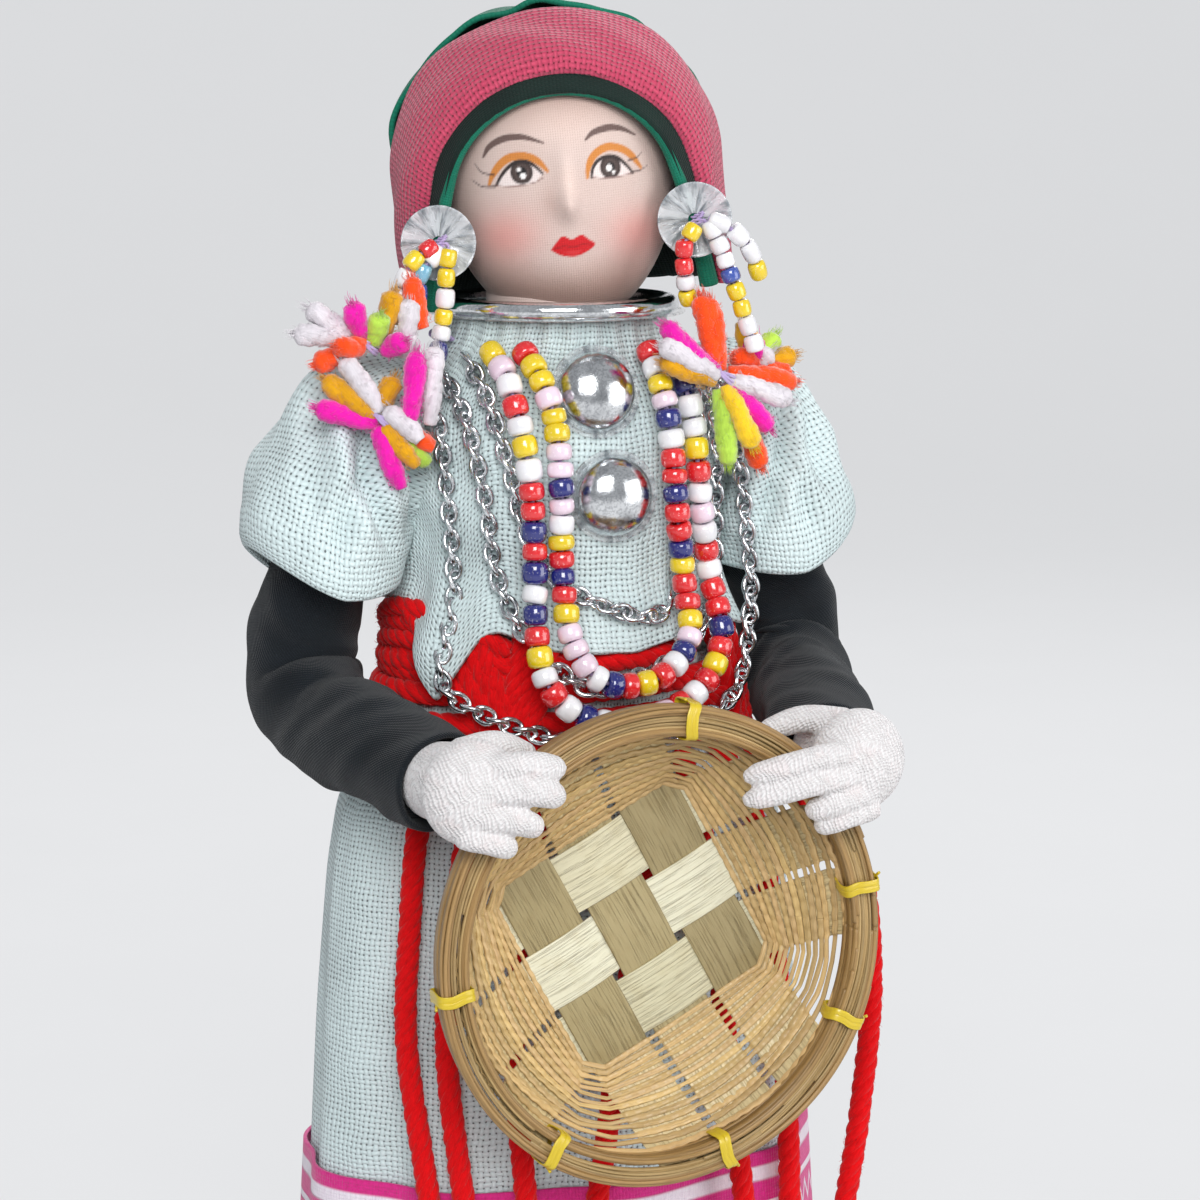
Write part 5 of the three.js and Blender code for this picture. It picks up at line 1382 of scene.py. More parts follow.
def split_bamboo(name, pale, dark, streak, roughness=0.42, gloss=0.3):
    """Split bamboo: grooves and fibres along the strip, in its own tint"""
    paint = Paint(name)
    u, v = paint.cloth()
    fibre = paint.noise(paint.place(u * 5.5, v * 0.22), 1.0, 4.0, 0.7)
    broad = paint.noise(paint.place(u * 0.9, v * 0.1), 1.0, 2.0)
    blot = paint.noise(paint.place(u, v), 0.3, 3.0)
    lines = paint.noise(paint.place(u * 5.2, v * 0.06), 1.0, 3.0, 0.6)
    groove = lines.rise(0.53, 0.64) * streak
    colour = paint.mix(fibre * 0.7, pale, dark)
    colour = paint.mix(blot.rise(0.45, 0.75) * 0.3, colour, dark)
    colour = paint.mix(1.0, colour, paint.tint(), "MULTIPLY")
    colour = paint.mix(groove * 0.16, colour, rgb(124, 96, 52))
    height = fibre * 0.5 + broad * 0.3 - groove * 0.9
    relief = paint.bump(height, 0.09)
    return paint.finish(colour, roughness + fibre * 0.2, relief, Coat_Weight=gloss, Coat_Roughness=0.25)


strip_bamboo = split_bamboo("strip_bamboo", rgb(232, 224, 194), rgb(196, 178, 132), 1.0)
splint_bamboo = split_bamboo("splint_bamboo", rgb(220, 192, 138), rgb(166, 128, 74), 0.5)


def flat_strip(shape, path, width, thickness, over, tint):
    """Flat strip along a path. over gives the direction that its broad face looks, at each point"""
    along = unit(np.gradient(path, axis=0))
    across = unit(np.cross(over, along))
    over = unit(np.cross(along, across))
    w, t = np.broadcast_to(width, len(path)) / 2, thickness / 2
    outline = [(-1, -0.4), (-0.96, 0.75), (-0.8, 1), (0, 1.12), (0.8, 1), (0.96, 0.75), (1, -0.4), (0.9, -1),
        (-0.9, -1)]
    rings = np.stack([path + across * (a * w)[:, None] + over * (b * t) for a, b in outline], axis=1)
    return shape.grid(rings[:, ::-1], wrap=True, tint=tint, caps=(True, True))


def strip_line(family, along, offset):
    """One line of a floor strip in the tray's plan, running across in family 0 and up in family 1"""
    other = np.full(len(along), offset)
    return np.stack([along, other] if family == 0 else [other, along], axis=1)


def add_tray():
    turn = np.array([[math.cos(FLOOR_TURN), -math.sin(FLOOR_TURN)],
        [math.sin(FLOOR_TURN), math.cos(FLOOR_TURN)]])
    strips, ribs = Shape(), Shape()
    reach = np.linspace(-1, 1, 240)
    # Strips that run across are paler and cooler than those that run up: partly their own pale tone, partly
    # painted sheen
    tints = {
        0: [(0.83, 0.87, 0.87), (1.0, 1.08, 1.2), (0.9, 0.94, 0.96)],
        1: [(0.48, 0.43, 0.3), (0.52, 0.47, 0.34), (0.46, 0.41, 0.29)],
    }
    wall_tints = {0: (0.8, 0.71, 0.54), 1: (0.9, 0.82, 0.66)}
    across = np.linspace(-STRIP_WIDTH / 2, STRIP_WIDTH / 2, 55)
    for family in (0, 1):
        for k in (-1, 0, 1):
            lines = []
            for w in across:
                offset = k * STRIP_PITCH + w
                along = np.linspace(-32, 32, 900)
                plan = strip_line(family, along, offset) @ turn.T
                kept = np.flatnonzero(tray_share(plan[:, 0], plan[:, 1]) > 0.0)
                run = np.interp(reach, [-1, 1], along[kept[[0, -1]]])
                plan = strip_line(family, run, offset) @ turn.T
                share = tray_share(plan[:, 0], plan[:, 1])
                way = 1 if family == 0 else -1
                cell = np.cos(math.pi * np.clip(run, -FLOOR_HALF, FLOOR_HALF) / STRIP_PITCH) * (-1) ** (k + 1)
                on_floor = np.clip((share - 0.9) / 0.12, 0, 1)
                rib = (w + STRIP_WIDTH / 2) / RIB
                rung = np.cos(math.pi * (np.clip(share, 0, 1) * (WEFT_ROWS + 0.9) + np.floor(min(rib, 8.9))))
                round_rib = abs(math.sin(math.pi * rib))
                bulge = 0.16 * (1 - (w / (STRIP_WIDTH / 2)) ** 2)
                lift = on_floor * (way * cell * 0.4 + bulge + 0.02 * round_rib)
                lift += (1 - on_floor) * (0.08 * rung + 0.12 * round_rib - 0.08)
                lines.append(np.column_stack([plan, 0.35 - tray_depth(share) + lift, on_floor]))
            top = np.asarray(lines).transpose(1, 0, 2)
            top, on_floor = top[..., :3], top[..., 3:]
            rings = from_tray(np.concatenate([top, top[:, ::-1] - (0, 0, 0.38)], axis=1))
            places = np.empty((*rings.shape[:2], 2))
            spread = across + 20 * k
            places[..., 0] = np.concatenate([spread, spread[::-1]])
            places[..., 1] = (reach * 32)[:, None] + family * 90 + k * 17
            tint = (
                np.asarray(tints[family][k + 1]) * on_floor
                + np.asarray(wall_tints[family]) * (1 - on_floor))
            tint = np.concatenate([tint, tint[:, ::-1]], axis=1)
            strips.grid(rings, wrap=True, tint=tint, caps=(True, True), places=places)
    angle = np.linspace(0, TURN, 1300)
    c, s = np.cos(angle), np.sin(angle)
    turned = angle - FLOOR_TURN
    floor = np.minimum(FLOOR_HALF / np.maximum(np.abs(np.cos(turned)), np.abs(np.sin(turned))), FLOOR_CORNER)
    for row in range(WEFT_ROWS + 1):
        share = np.clip(1 - (row + 0.5) / (WEFT_ROWS + 0.9), 0, 1)
        sway = share + (
            0.016 * np.sin(3 * angle + row * 1.9) + 0.012 * np.sin(8 * angle + row * 2.3)) * (1 - share)
        x = (TRAY_RIM[0] * (1 - sway) + floor * sway) * c
        y = (TRAY_RIM[1] * (1 - sway) + floor * sway) * s
        local = np.stack([x, y], axis=1) @ turn
        side = np.where(np.abs(local[:, 0]) > np.abs(local[:, 1]), local[:, 1], local[:, 0])
        off = side - np.round(side / STRIP_PITCH) * STRIP_PITCH
        inside = (
            np.clip((STRIP_WIDTH / 2 - np.abs(off)) / 0.5 + 0.5, 0, 1)
            * (np.abs(side) < 1.5 * STRIP_PITCH))
        passes = inside * np.sin(math.pi * ((off + STRIP_WIDTH / 2) / RIB + row))
        out = np.stack([-c * 0.6, -s * 0.6, np.full_like(c, 0.9)], axis=1)
        out[:, 2] *= np.interp(share, [0, 0.16, 0.55, 1], [0.2, 0.5, 1.1, 1.6])
        out = unit(out)
        high = 0.44 + 0.1 * passes + 0.26 * (1 - inside) * np.sin(14 * angle + row * 2)
        path = np.column_stack([x, y, np.full_like(x, -tray_depth(share))]) + out * high[:, None]
        tone = rng.uniform(0.8, 1.1)
        tint = (tone, tone * rng.uniform(0.95, 1.0), tone * rng.uniform(0.86, 0.98))
        wide = (0.98 - 0.24 * share) * (1 + 0.1 * np.sin(7 * angle + row)) * (0.72 + 0.28 * inside)
        flat_strip(ribs, from_tray(path), wide, 0.34, from_tray(out) - from_tray(np.zeros(3)), tint)
    strips = strips.made("woven_strips", strip_bamboo, "tray", ["tray_bowl"], "bamboo")
    ribs.made("woven_splints", splint_bamboo, "tray", slot="bamboo")

    def ring_path(grow, depth, wobble=0.0, start=0.0, end=TURN):
        a = np.linspace(start, end, int(360 * (end - start) / TURN) + 2)
        waves = wobble * np.sin(5 * a + depth * 3 + grow)
        x = (TRAY_RIM[0] + grow) * np.cos(a)
        y = (TRAY_RIM[1] + grow) * np.sin(a)
        outward = np.stack([np.cos(a), np.sin(a), np.zeros_like(a)], axis=1)
        return np.column_stack([x, y, depth + waves]), outward

    def hoop(name, node, low, high, tone):
        shape = Shape()
        thick = high - low
        for i, depth in enumerate((-2.35, -1.4, -0.45, 0.5)):
            path, outward = ring_path((low + high) / 2 + 0.12 * (i % 2), depth, 0.14)
            tint = tuple(np.array(tone) * rng.uniform(0.82, 1.1))
            over = from_tray(outward) - from_tray(np.zeros(3))
            flat_strip(shape, from_tray(path), 1.12, thick * rng.uniform(0.5, 0.66), over, tint)
        for i, (share, depth) in enumerate(((0.2, 0.95), (0.8, 0.8), (0.5, 1.15))):
            path, _ = ring_path(low + thick * share, depth, 0.16, rng.uniform(0, 0.4),
                TURN - rng.uniform(0.0, 0.3))
            shape.tube(from_tray(path), 0.29, 8, tuple(np.array(tone) * (0.86 + 0.12 * i)))
        shape.made(name, splint_bamboo, "tray", [node], "bamboo")

    # The hoops' tones are a darker gold, darkened further by painted shade on the rim
    hoop("outer_hoop_splints", "tray_outer_hoop", 0.85, 2.35, (0.56, 0.48, 0.37))
    hoop("inner_hoop_splints", "tray_inner_hoop", -1.85, -0.85, (0.54, 0.46, 0.34))
    filling = Shape()
    for i in range(9):
        start = rng.uniform(0, TURN)
        path, _ = ring_path(rng.uniform(-0.9, 0.9), rng.uniform(0.2, 1.2), 0.2, start,
            start + rng.uniform(3.2, 5.8))
        tone = rng.uniform(0.5, 0.8)
        filling.tube(from_tray(path), rng.uniform(0.2, 0.34), 7, (tone, tone * 0.97, tone * 0.88))
    filling.made("rim_filling", splint_bamboo, "tray", slot="bamboo")


add_tray()


# Yellow plastic strip ties round the rim

def tie_plastic():
    paint = Paint("yellow_tie")
    u, v = paint.cloth()
    drawn = paint.noise(paint.place(u * 4, v * 0.4), 1.0, 3.0)
    colour = paint.mix(drawn, rgb(222, 196, 40), rgb(186, 158, 18))
    return paint.finish(colour, 0.28 + drawn * 0.2, paint.bump(drawn, 0.08), Coat_Weight=0.4,
        Coat_Roughness=0.15)


def add_ties():
    plastic = tie_plastic()
    for number, degrees in enumerate((83, 11, -24, -72, -122, 187), 1):
        a = math.radians(degrees)
        spot = np.array((TRAY_RIM[0] * math.cos(a), TRAY_RIM[1] * math.sin(a), 0))
        out = unit(np.array((math.cos(a) / TRAY_RIM[0], math.sin(a) / TRAY_RIM[1], 0.0)))
        side = np.cross((0, 0, 1), out)
        loop = [(-2.15, -3.0), (-2.5, -0.6), (-2.2, 1.2), (-0.9, 1.75), (0.9, 1.7), (2.45, 1.2), (2.75, -0.8),
            (2.5, -3.1),
                (0.6, -3.45), (-1.4, -3.35), (-2.15, -3.0)]
        points = [
            spot + out * r + (0, 0, d) + side * 0.25 * math.sin(i * 1.9 + number)
            for i, (r, d) in enumerate(loop)]
        path = through(points, step=0.25)
        shape = Shape()
        centre = spot + (0, 0, -0.9)
        for shift, wide in ((-0.4, 1.0), (0.42, 0.85)):
            broad = unit(path - centre)
            flat_strip(shape, from_tray(path + side * shift + broad * 0.06 * shift), wide, 0.22,
                       from_tray(broad) - from_tray(np.zeros(3)), (1, 1, 1))
        end = through([spot + out * 2.6 + side * 0.4 + (0, 0, -0.4),
            spot + out * 3.1 + side * 1.2 + (0, 0, 0.6)], step=0.2)
        shape.tube(from_tray(end), 0.22, 6)
        shape.made(f"strip_tie_{number}", plastic, "tray", [f"tray_tie_{number}"], "yellow_tie")


add_ties()


# Chest that the ornaments rest on

SASH_TOP = SASH_BOTTOM + 3 * SASH_PITCH
SASH_OUTSIDE = sash_centre(SASH_BOTTOM, GAP + YARN)
CHEST_ROWS = [(SASH_BOTTOM - WAIST - YARN, *SASH_OUTSIDE), (SASH_TOP - WAIST, *SASH_OUTSIDE)] + [
    row for row in BODICE_ROWS if row[0] > SASH_TOP - WAIST + 9]
BEAD = 3.8
CHAIN_WIDTH = 2.6


def on_chest(x, drop, lift, forward=0.0):
    z = COLLAR - drop
    return (x, min(front_of(form_at(CHEST_ROWS, z - WAIST), x, lift), -forward), z)


# Bright metal and clear plastic

def silvered(name, roughness, speckle, dark=0.0):
    """Silvered surface with specks and cloudy patches in its shine"""
    paint = Paint(name)
    place = paint.solid_place()
    fine = paint.noise(place, 2.2, 4.0, 0.7)
    broad = paint.noise(place, 0.35, 3.0)
    specks = fine.rise(0.46, 0.58) * speckle
    colour = paint.mix(specks, rgb(236, 238, 240), rgb(128, 132, 138))
    colour = paint.mix(broad.rise(0.4, 0.7) * dark, colour, rgb(96, 100, 108))
    relief = paint.bump(fine * speckle + broad, 0.06)
    return paint.finish(colour, (specks * 0.25 + roughness).between(), relief, Metallic=1.0)


def clear_sheet(name, tint):
    paint = Paint(name)
    u, v = paint.cloth()
    place = paint.solid_place()
    haze = paint.noise(place, 0.5, 3.0)
    marks = paint.noise(place, 2.4, 2.0).rise(0.58, 0.7)
    # Painted shade: grey fan-shaped streaks stand for the shading of the cupped sheet, and the rim is made
    # paler and more opaque as a painted bright edge
    fan = paint.noise(paint.place(u * 0.8, v * 0.16), 1.0, 3.0).rise(0.4, 0.66)
    colour = paint.mix(fan, tint, rgb(112, 120, 126))
    alpha = haze * 0.1 + marks * 0.12 + fan * 0.34 + v.rise(4.2, 4.5) * 0.5 + 0.1
    relief = paint.bump(fan * 1.4 + haze + marks * 0.3, 0.2)
    paint.feed(paint.shader.inputs["Alpha"], alpha)
    return paint.finish(colour, 0.08 + marks * 0.2, relief, Coat_Weight=1.0, Coat_Roughness=0.04, IOR=1.5)


ring_silver = silvered("ring_silver", 0.06, 0.25, 0.2)
dome_silver = silvered("dome_silver", 0.09, 0.4, 0.35)
chain_silver = silvered("chain_silver", 0.14, 0.35, 0.5)
clear_plastic = clear_sheet("clear_plastic", rgb(236, 240, 244))


def add_neck_ring():
    middle = 16.6
    tube = [(middle + 1.35 * math.cos(a), 1.35 * math.sin(a)) for a in np.linspace(-TURN / 2, TURN / 2, 25)]
    centre = (0, 0, COLLAR + GAP + 1.35)
    ring = lathe(Shape(), tube[:-1] + tube[:1], centre, sides=120)
    ring.made("silver_neck_ring", ring_silver, "root", ["neck_ring"], "silver_sheet")
    flange = [(middle + 0.4, -1.32), (middle + 1.2, -1.36), (middle + 2.2, -1.3), (middle + 2.32, -1.12),
        (middle + 2.2, -0.95),
              (middle + 1.35, -0.92)]
    flange = lathe(Shape(), flange, centre, sides=120)
    flange.made("ring_flange", clear_plastic, "root", slot="clear_plastic")


def add_dome(name, node, x, drop):
    above, middle, below = (on_chest(x, drop + step, GAP) for step in (-6.2, 0, 6.2))
    lean = math.atan2(above[1] - below[1], above[2] - below[2])
    bulge = max(0.0, (above[1] + below[1]) / 2 - middle[1])
    centre = (x, (above[1] + below[1]) / 2 - bulge, middle[2])
    turn = np.array(Matrix.Rotation(math.pi / 2 - lean, 3, "X"))
    cap = [(5.8 * math.cos(a), 0.5 + 3.9 * math.sin(a)) for a in np.radians(np.linspace(0, 86, 22))]
    lathe(Shape(), [(5.9, 0.3)] + cap + [(0.02, 4.4)], centre, turn, 72).made(
        name, dome_silver, "root", [node], "silver_sheet")
    brim = [(5.2, 0.55), (5.9, 0.62), (6.4, 0.8), (6.65, 0.72), (6.7, 0.4), (6.4, 0.15), (5.5, 0.1)]
    shape = lathe(Shape(), brim, centre, turn, 72)
    shape.made(f"{name}_flange", clear_plastic, "root", slot="clear_plastic")


add_neck_ring()
add_dome("upper_silver_dome", "upper_dome", 0, 9.8)
add_dome("lower_silver_dome", "lower_dome", 1.8, 24.4)


# Necklaces of barrel beads

COLOURS = {
    "red": rgb(226, 34, 40)[:3], "yellow": rgb(236, 206, 24)[:3], "white": rgb(240, 240, 242)[:3],
    "rose": rgb(238, 216, 230)[:3], "navy": rgb(26, 34, 116)[:3], "blue": rgb(58, 84, 168)[:3],
    "pale_blue": rgb(120, 180, 206)[:3],
}
INNER_BEADS = """red yellow yellow rose yellow yellow rose rose navy rose white yellow red navy red yellow
    rose rose rose white navy red yellow red white navy rose yellow red red yellow navy red red navy
    red red white navy rose yellow white red""".split()
OUTER_BEADS = """yellow rose white red white yellow white red red navy red navy white navy red yellow white
    red white navy white red rose rose red white red yellow red navy red red white red white rose
    white red yellow white white navy white red""".split()
INNER_ROUTE = [
    (-10.2, 3.4), (-8.8, 7.4), (-7.6, 13), (-7.2, 22), (-7, 34), (-6.4, 44), (-3.6, 48.8), (1, 50.2),
    (6.4, 49.2), (11.4, 44.6), (11.8, 36), (10.4, 26), (9.6, 14), (8.8, 8), (8.4, 3.4),
]
OUTER_ROUTE = [
    (-14.2, 3.4), (-13.2, 7.4), (-12.6, 12), (-11.5, 20), (-10.9, 30), (-11.2, 42), (-10.4, 49.6),
    (-6.4, 53.8), (0.4, 55.6), (8, 54.2), (13.8, 50.8), (17.2, 45), (16.6, 36), (14.6, 25),
    (13.8, 14), (13, 8), (12.6, 3.4),
]


def glossy_beads():
    paint = Paint("glossy_beads")
    place = paint.solid_place()
    clouds = paint.noise(place, 0.8, 3.0)
    specks = paint.noise(place, 3.0, 2.0).rise(0.6, 0.72)
    colour = paint.mix(clouds * 0.3, paint.tint(), rgb(200, 190, 200), "MULTIPLY")
    colour = paint.mix(specks * 0.2, colour, rgb(255, 250, 250))
    return paint.finish(
        colour, 0.16 + specks * 0.15, paint.bump(clouds, 0.05), Coat_Weight=1.0, Coat_Roughness=0.04,
        Specular_IOR_Level=0.6)


bead_plastic = glossy_beads()
bead_thread = yarn_cloth("bead_thread", 0.3, 0.05, 0.2)
LILAC = rgb(190, 170, 214)[:3]


def barrel(shape, centre, along, length, radius, tint):
    across = unit(np.cross(along, (0.3, 0.2, 1.0)))
    over = np.cross(along, across)
    angle = np.linspace(0, TURN, 20, endpoint=False)
    profile = [(-0.3, 0.3), (-0.48, 0.34), (-0.5, 0.5), (-0.49, 0.66), (-0.43, 0.85), (-0.3, 0.965),
        (-0.1, 1.0),
               (0.1, 1.0), (0.3, 0.965), (0.43, 0.85), (0.49, 0.66), (0.5, 0.5), (0.48, 0.34), (0.3, 0.3)]
    rings = [centre + along * (t * length) + radius * r * (
        across * np.cos(angle)[:, None] + over * np.sin(angle)[:, None]) for t, r in profile]
    shape.grid(rings, wrap=True, tint=tint)


def strung(shape, thread, path, colours, diameter):
    """Beads in their colours along a path, each a little unlike the next, and the thread inside"""
    sizes = 1 + 0.13 * rng.uniform(-1, 1, len(colours))
    ends = np.concatenate([[0], np.cumsum(sizes)]) / sizes.sum()
    fine = even(path, count=1200)
    at = (ends[:-1] + ends[1:]) / 2 * 1199
    total = length_of(path)
    for i, (spot, colour) in enumerate(zip(at, colours)):
        k = int(round(spot))
        along = unit(fine[min(k + 6, 1199)] - fine[max(k - 6, 0)])
        tilt = unit(along + rng.normal(0, 0.06, 3))
        long = total * (ends[i + 1] - ends[i]) * 0.95
        tone = rng.uniform(0.93, 1.04)
        barrel(shape, fine[k], tilt, long, diameter / 2 * rng.uniform(0.94, 1.02),
            tuple(np.array(COLOURS[colour]) * tone))
    thread.tube(even(path, 0.8), 0.32, 6, LILAC)


def add_necklaces():
    thread = Shape()
    for name, node, route, colours, slot in (
            ("inner_beads", "inner_bead_strand", INNER_ROUTE, INNER_BEADS, "red_beads"),
            ("outer_beads", "outer_bead_strand", OUTER_ROUTE, OUTER_BEADS, "white_beads")):
        over_chains = 2 * GAP + CHAIN_WIDTH + BEAD / 2
        points = [
            on_chest(x, drop, over_chains if drop > route[0][1] else BEAD / 2 + GAP) for x, drop in route]
        shape = Shape()
        strung(shape, thread, through(points, step=0.4), colours, BEAD)
        shape.made(name, bead_plastic, "necklace", [node], slot)
    thread.made("bead_threads", bead_thread, "necklace", slot="thread")
    out = 0.5 + 3 * GAP
    angles = np.radians(-18 + 216 * np.arange(13) / 12)
    points = [(((17 + out) * math.cos(a)), (14.6 + out) * math.sin(a), COLLAR - 2.6) for a in angles]
    back = spun(Shape(), through(points, step=0.4), 0.5, LILAC, pitch=2.4, step=0.25, sides=6)
    back.made("thread_behind_neck", bead_thread, "root", ["necklace_thread"], "thread")


add_necklaces()


# Chains of curb links

CHAINS = [
    [(-16.4, 5.6), (-15, 11), (-13, 20), (-10.6, 29.6), (-6, 36.4), (0.3, 40), (8.2, 41.6), (14, 36),
    (16.6, 26),
     (16.6, 14), (16, 5.6)],
    [(-19.4, 8), (-18.2, 13), (-16.2, 24), (-14.4, 36), (-11, 44.6), (-3, 51.2), (4, 50), (11.5, 47),
    (18.6, 40),
     (20, 28), (19.8, 14), (18.8, 8)],
    [(-21.6, 9.6), (-21.4, 14), (-20.6, 26), (-20, 38), (-22.6, 50.6), (-17, 55), (-8, 58.2), (2, 60),
    (14, 57.6),
     (22, 54), (24.6, 42, 15.5), (24.2, 28, 14), (23, 16, 12), (21.6, 9.6, 9)],
]


def curb_link(shape, centre, along, over, twist):
    across = np.cross(along, over)
    side = across * math.cos(twist) + over * math.sin(twist)
    lift = np.cross(side, along)
    angle = np.linspace(0, TURN, 22, endpoint=False)
    oval = [centre + along * (1.62 * math.cos(a)) + side * (1.1 * math.sin(a))
        + lift * (0.3 * math.sin(2 * a))
            for a in angle]
    oval = np.asarray(oval)
    ahead = unit(np.roll(oval, -1, axis=0) - np.roll(oval, 1, axis=0))
    out = unit(np.cross(ahead, lift))
    up = np.cross(out, ahead)
    turn = np.linspace(0, TURN, 7, endpoint=False)
    rings = oval[:, None] + 0.38 * (
        out[:, None] * np.cos(turn)[None, :, None] + up[:, None] * np.sin(turn)[None, :, None])
    shape.grid(rings, wrap=True, closed=True)


def add_chains():
    # The links press a little into the gauze, which keeps them off the beads that hang over them
    lift = CHAIN_WIDTH / 2
    for number, route in enumerate(CHAINS, 1):
        points = [on_chest(row[0], row[1], lift, *row[2:]) for row in route]
        path = through(points, step=2.05)
        along = unit(np.gradient(path, axis=0))
        shape = Shape()
        for i, (spot, ahead) in enumerate(zip(path, along)):
            out = np.array((spot[0] * 0.35, -1.0, 0.05))
            over = unit(out - ahead * np.dot(out, ahead))
            curb_link(shape, spot, ahead, over, (0.72 if i % 2 else -0.72) + rng.uniform(-0.15, 0.15))
        shape.made(f"curb_chain_{number}", chain_silver, "root", [f"chain_{number}"], "chain_metal")


add_chains()


# Ear discs of clear plastic, their bead strands and the tied tassels

EAR_SIDE = 18.2
EAR_DROP = 9.3
EAR_FORWARD = 11.89
STRANDS = {
    "right": [
        ([(-1, 0.6, 0), (-4.6, 0.8, -2.6), (-6.2, 0.2, -7), (-6.8, -1, -11)],
        "red yellow white white yellow"),
        ([(0.8, 1, -0.6), (0.4, 1.2, -3), (0, 1.2, -9), (-1.4, 1.8, -16.4)],
        "yellow yellow white yellow white navy"),
        ([(0, 0.4, -0.6), (-3.1, 0.4, -4), (-3.4, -0.4, -8.4)], "white pale_blue blue"),
    ],
    "left": [
        ([(-0.6, 0.8, -0.6), (-2.4, 0.8, -3.4), (-2, 0, -8), (-1, -1, -12)], "yellow red red white yellow"),
        ([(1, 1, 0), (2.6, 1.6, -3.6), (4.6, 2, -9), (7.8, 3, -18.6)],
         "white white white blue yellow yellow white white"),
        ([(1, 1.2, 0.4), (4.6, 2.2, -1.6), (7.4, 1.6, -4.6), (9.4, 0.2, -8.4)], "white white white yellow"),
    ],
}
YARNS = {
    "pink": rgb(238, 30, 172)[:3], "orange": rgb(255, 84, 30)[:3], "white": rgb(226, 220, 226)[:3],
    "mustard": rgb(222, 160, 26)[:3], "lime": rgb(184, 222, 84)[:3], "yellow": rgb(248, 204, 44)[:3],
}
TASSELS = [
    ("right_upper_tassel", "right_tassel_upper", "right_earring", "pink_yarn", (-31.7, -10.9, 180.4), [
        ("white", (-39.6, -10.6, 185.6), (-33.4, -11, 182)),
        ("white", (-41.6, -10.8, 182.2), (-34, -11, 181.4)),
        ("pink", (-34.2, -13.4, 186.0), (-32.2, -11.4, 181.8)),
        ("orange", (-36.6, -14, 180.6), (-32.4, -11.6, 180.8)),
        ("orange", (-39.2, -12.4, 178.2), (-33.2, -11, 180)),
        ("lime", (-30.6, -13.6, 184.4), (-31.6, -11, 180.2)),
        ("mustard", (-28.2, -12, 187.4), (-29.4, -11.2, 181.6)),
        ("white", (-26.0, -12.6, 186.2), (-26.6, -11.4, 178.6)),
        ("orange", (-25.4, -11.8, 189.2), (-24.0, -12.2, 182.6)),
        ("pink", (-27.6, -14.6, 181.0), (-29.6, -11.6, 179.6)),
    ]),
    ("right_lower_tassel", "right_tassel_lower", "right_earring", "orange_yarn", (-30.6, -13.6, 170.2), [
        ("pink", (-26.0, -15.6, 179.2), (-27.0, -15.6, 170.0)),
        ("white", (-22.8, -13.6, 179.6), (-23.6, -14.0, 169.2)),
        ("white", (-35.6, -13.4, 178.4), (-31.0, -14.0, 171.4)),
        ("mustard", (-38.0, -12.4, 175.8), (-31.4, -13.8, 170.6)),
        ("pink", (-39.2, -12.8, 172.0), (-31.2, -13.8, 169.8)),
        ("mustard", (-30.4, -14.2, 169.4), (-25.8, -14.8, 163.8)),
        ("pink", (-31.0, -14.2, 169.0), (-28.0, -14.6, 160.6)),
        ("white", (-30.0, -14.8, 171.4), (-25.8, -16.4, 167.4)),
        ("orange", (-28.4, -14.0, 169.6), (-23.4, -14.8, 166.2)),
        ("lime", (-28.8, -13.6, 169.0), (-24.0, -13.8, 163.8)),
        ("mustard", (-28.4, -12.4, 175.4), (-30.4, -13.4, 171.2)),
    ]),
    ("left_upper_tassel", "left_tassel_upper", "left_earring", "pink_yarn", (24.6, -17.2, 177.0), [
        ("orange", (20.4, -19.6, 177.8), (24.4, -18, 176.4)),
        ("pink", (23.6, -18.4, 180.2), (24.4, -17.6, 176.8)),
        ("white", (26.0, -18.4, 178.2), (24.0, -17.8, 176.4)),
        ("lime", (27.4, -16.6, 180.2), (24.8, -17.2, 176.6)),
        ("mustard", (30.2, -16.8, 177.4), (24.8, -17.2, 176.8)),
        ("yellow", (22.6, -17.6, 182.6), (24.2, -17.4, 177.2)),
        ("orange", (29.0, -18.0, 174.8), (24.6, -17.8, 176.4)),
    ]),
    ("left_lower_tassel", "left_tassel_lower", "left_earring", "orange_yarn", (17.4, -21.9, 175.4), [
        ("orange", (14.4, -20.6, 186.2), (16.6, -21.6, 176.2)),
        ("orange", (15.6, -21.0, 185.8), (17.0, -21.6, 176.2)),
        ("pink", (8.2, -23.2, 182.8), (16.4, -22.0, 176.2)),
        ("white", (7.6, -24.0, 180.2), (16.2, -22.6, 175.6)),
        ("mustard", (8.2, -22.6, 177.8), (16.0, -22.0, 174.8)),
        ("white", (27.2, -22.4, 171.8), (18.0, -22.4, 175.0)),
        ("orange", (28.6, -20.8, 174.0), (18.4, -21.4, 175.8)),
        ("yellow", (21.2, -24.0, 165.8), (17.4, -22.6, 174.2)),
        ("pink", (24.4, -22.0, 168.0), (18.0, -22.0, 174.4)),
        ("lime", (18.2, -22.2, 163.2), (16.8, -21.8, 173.6)),
        ("orange", (23.6, -20.8, 162.4), (18.8, -21.2, 171.8)),
    ]),
]
tassel_yarn = yarn_cloth("tassel_yarn", 0.22, 0.2, 0.7)


def ear_place(side):
    return from_head(np.array((side * EAR_SIDE, -EAR_FORWARD - 1.5, -EAR_DROP)))


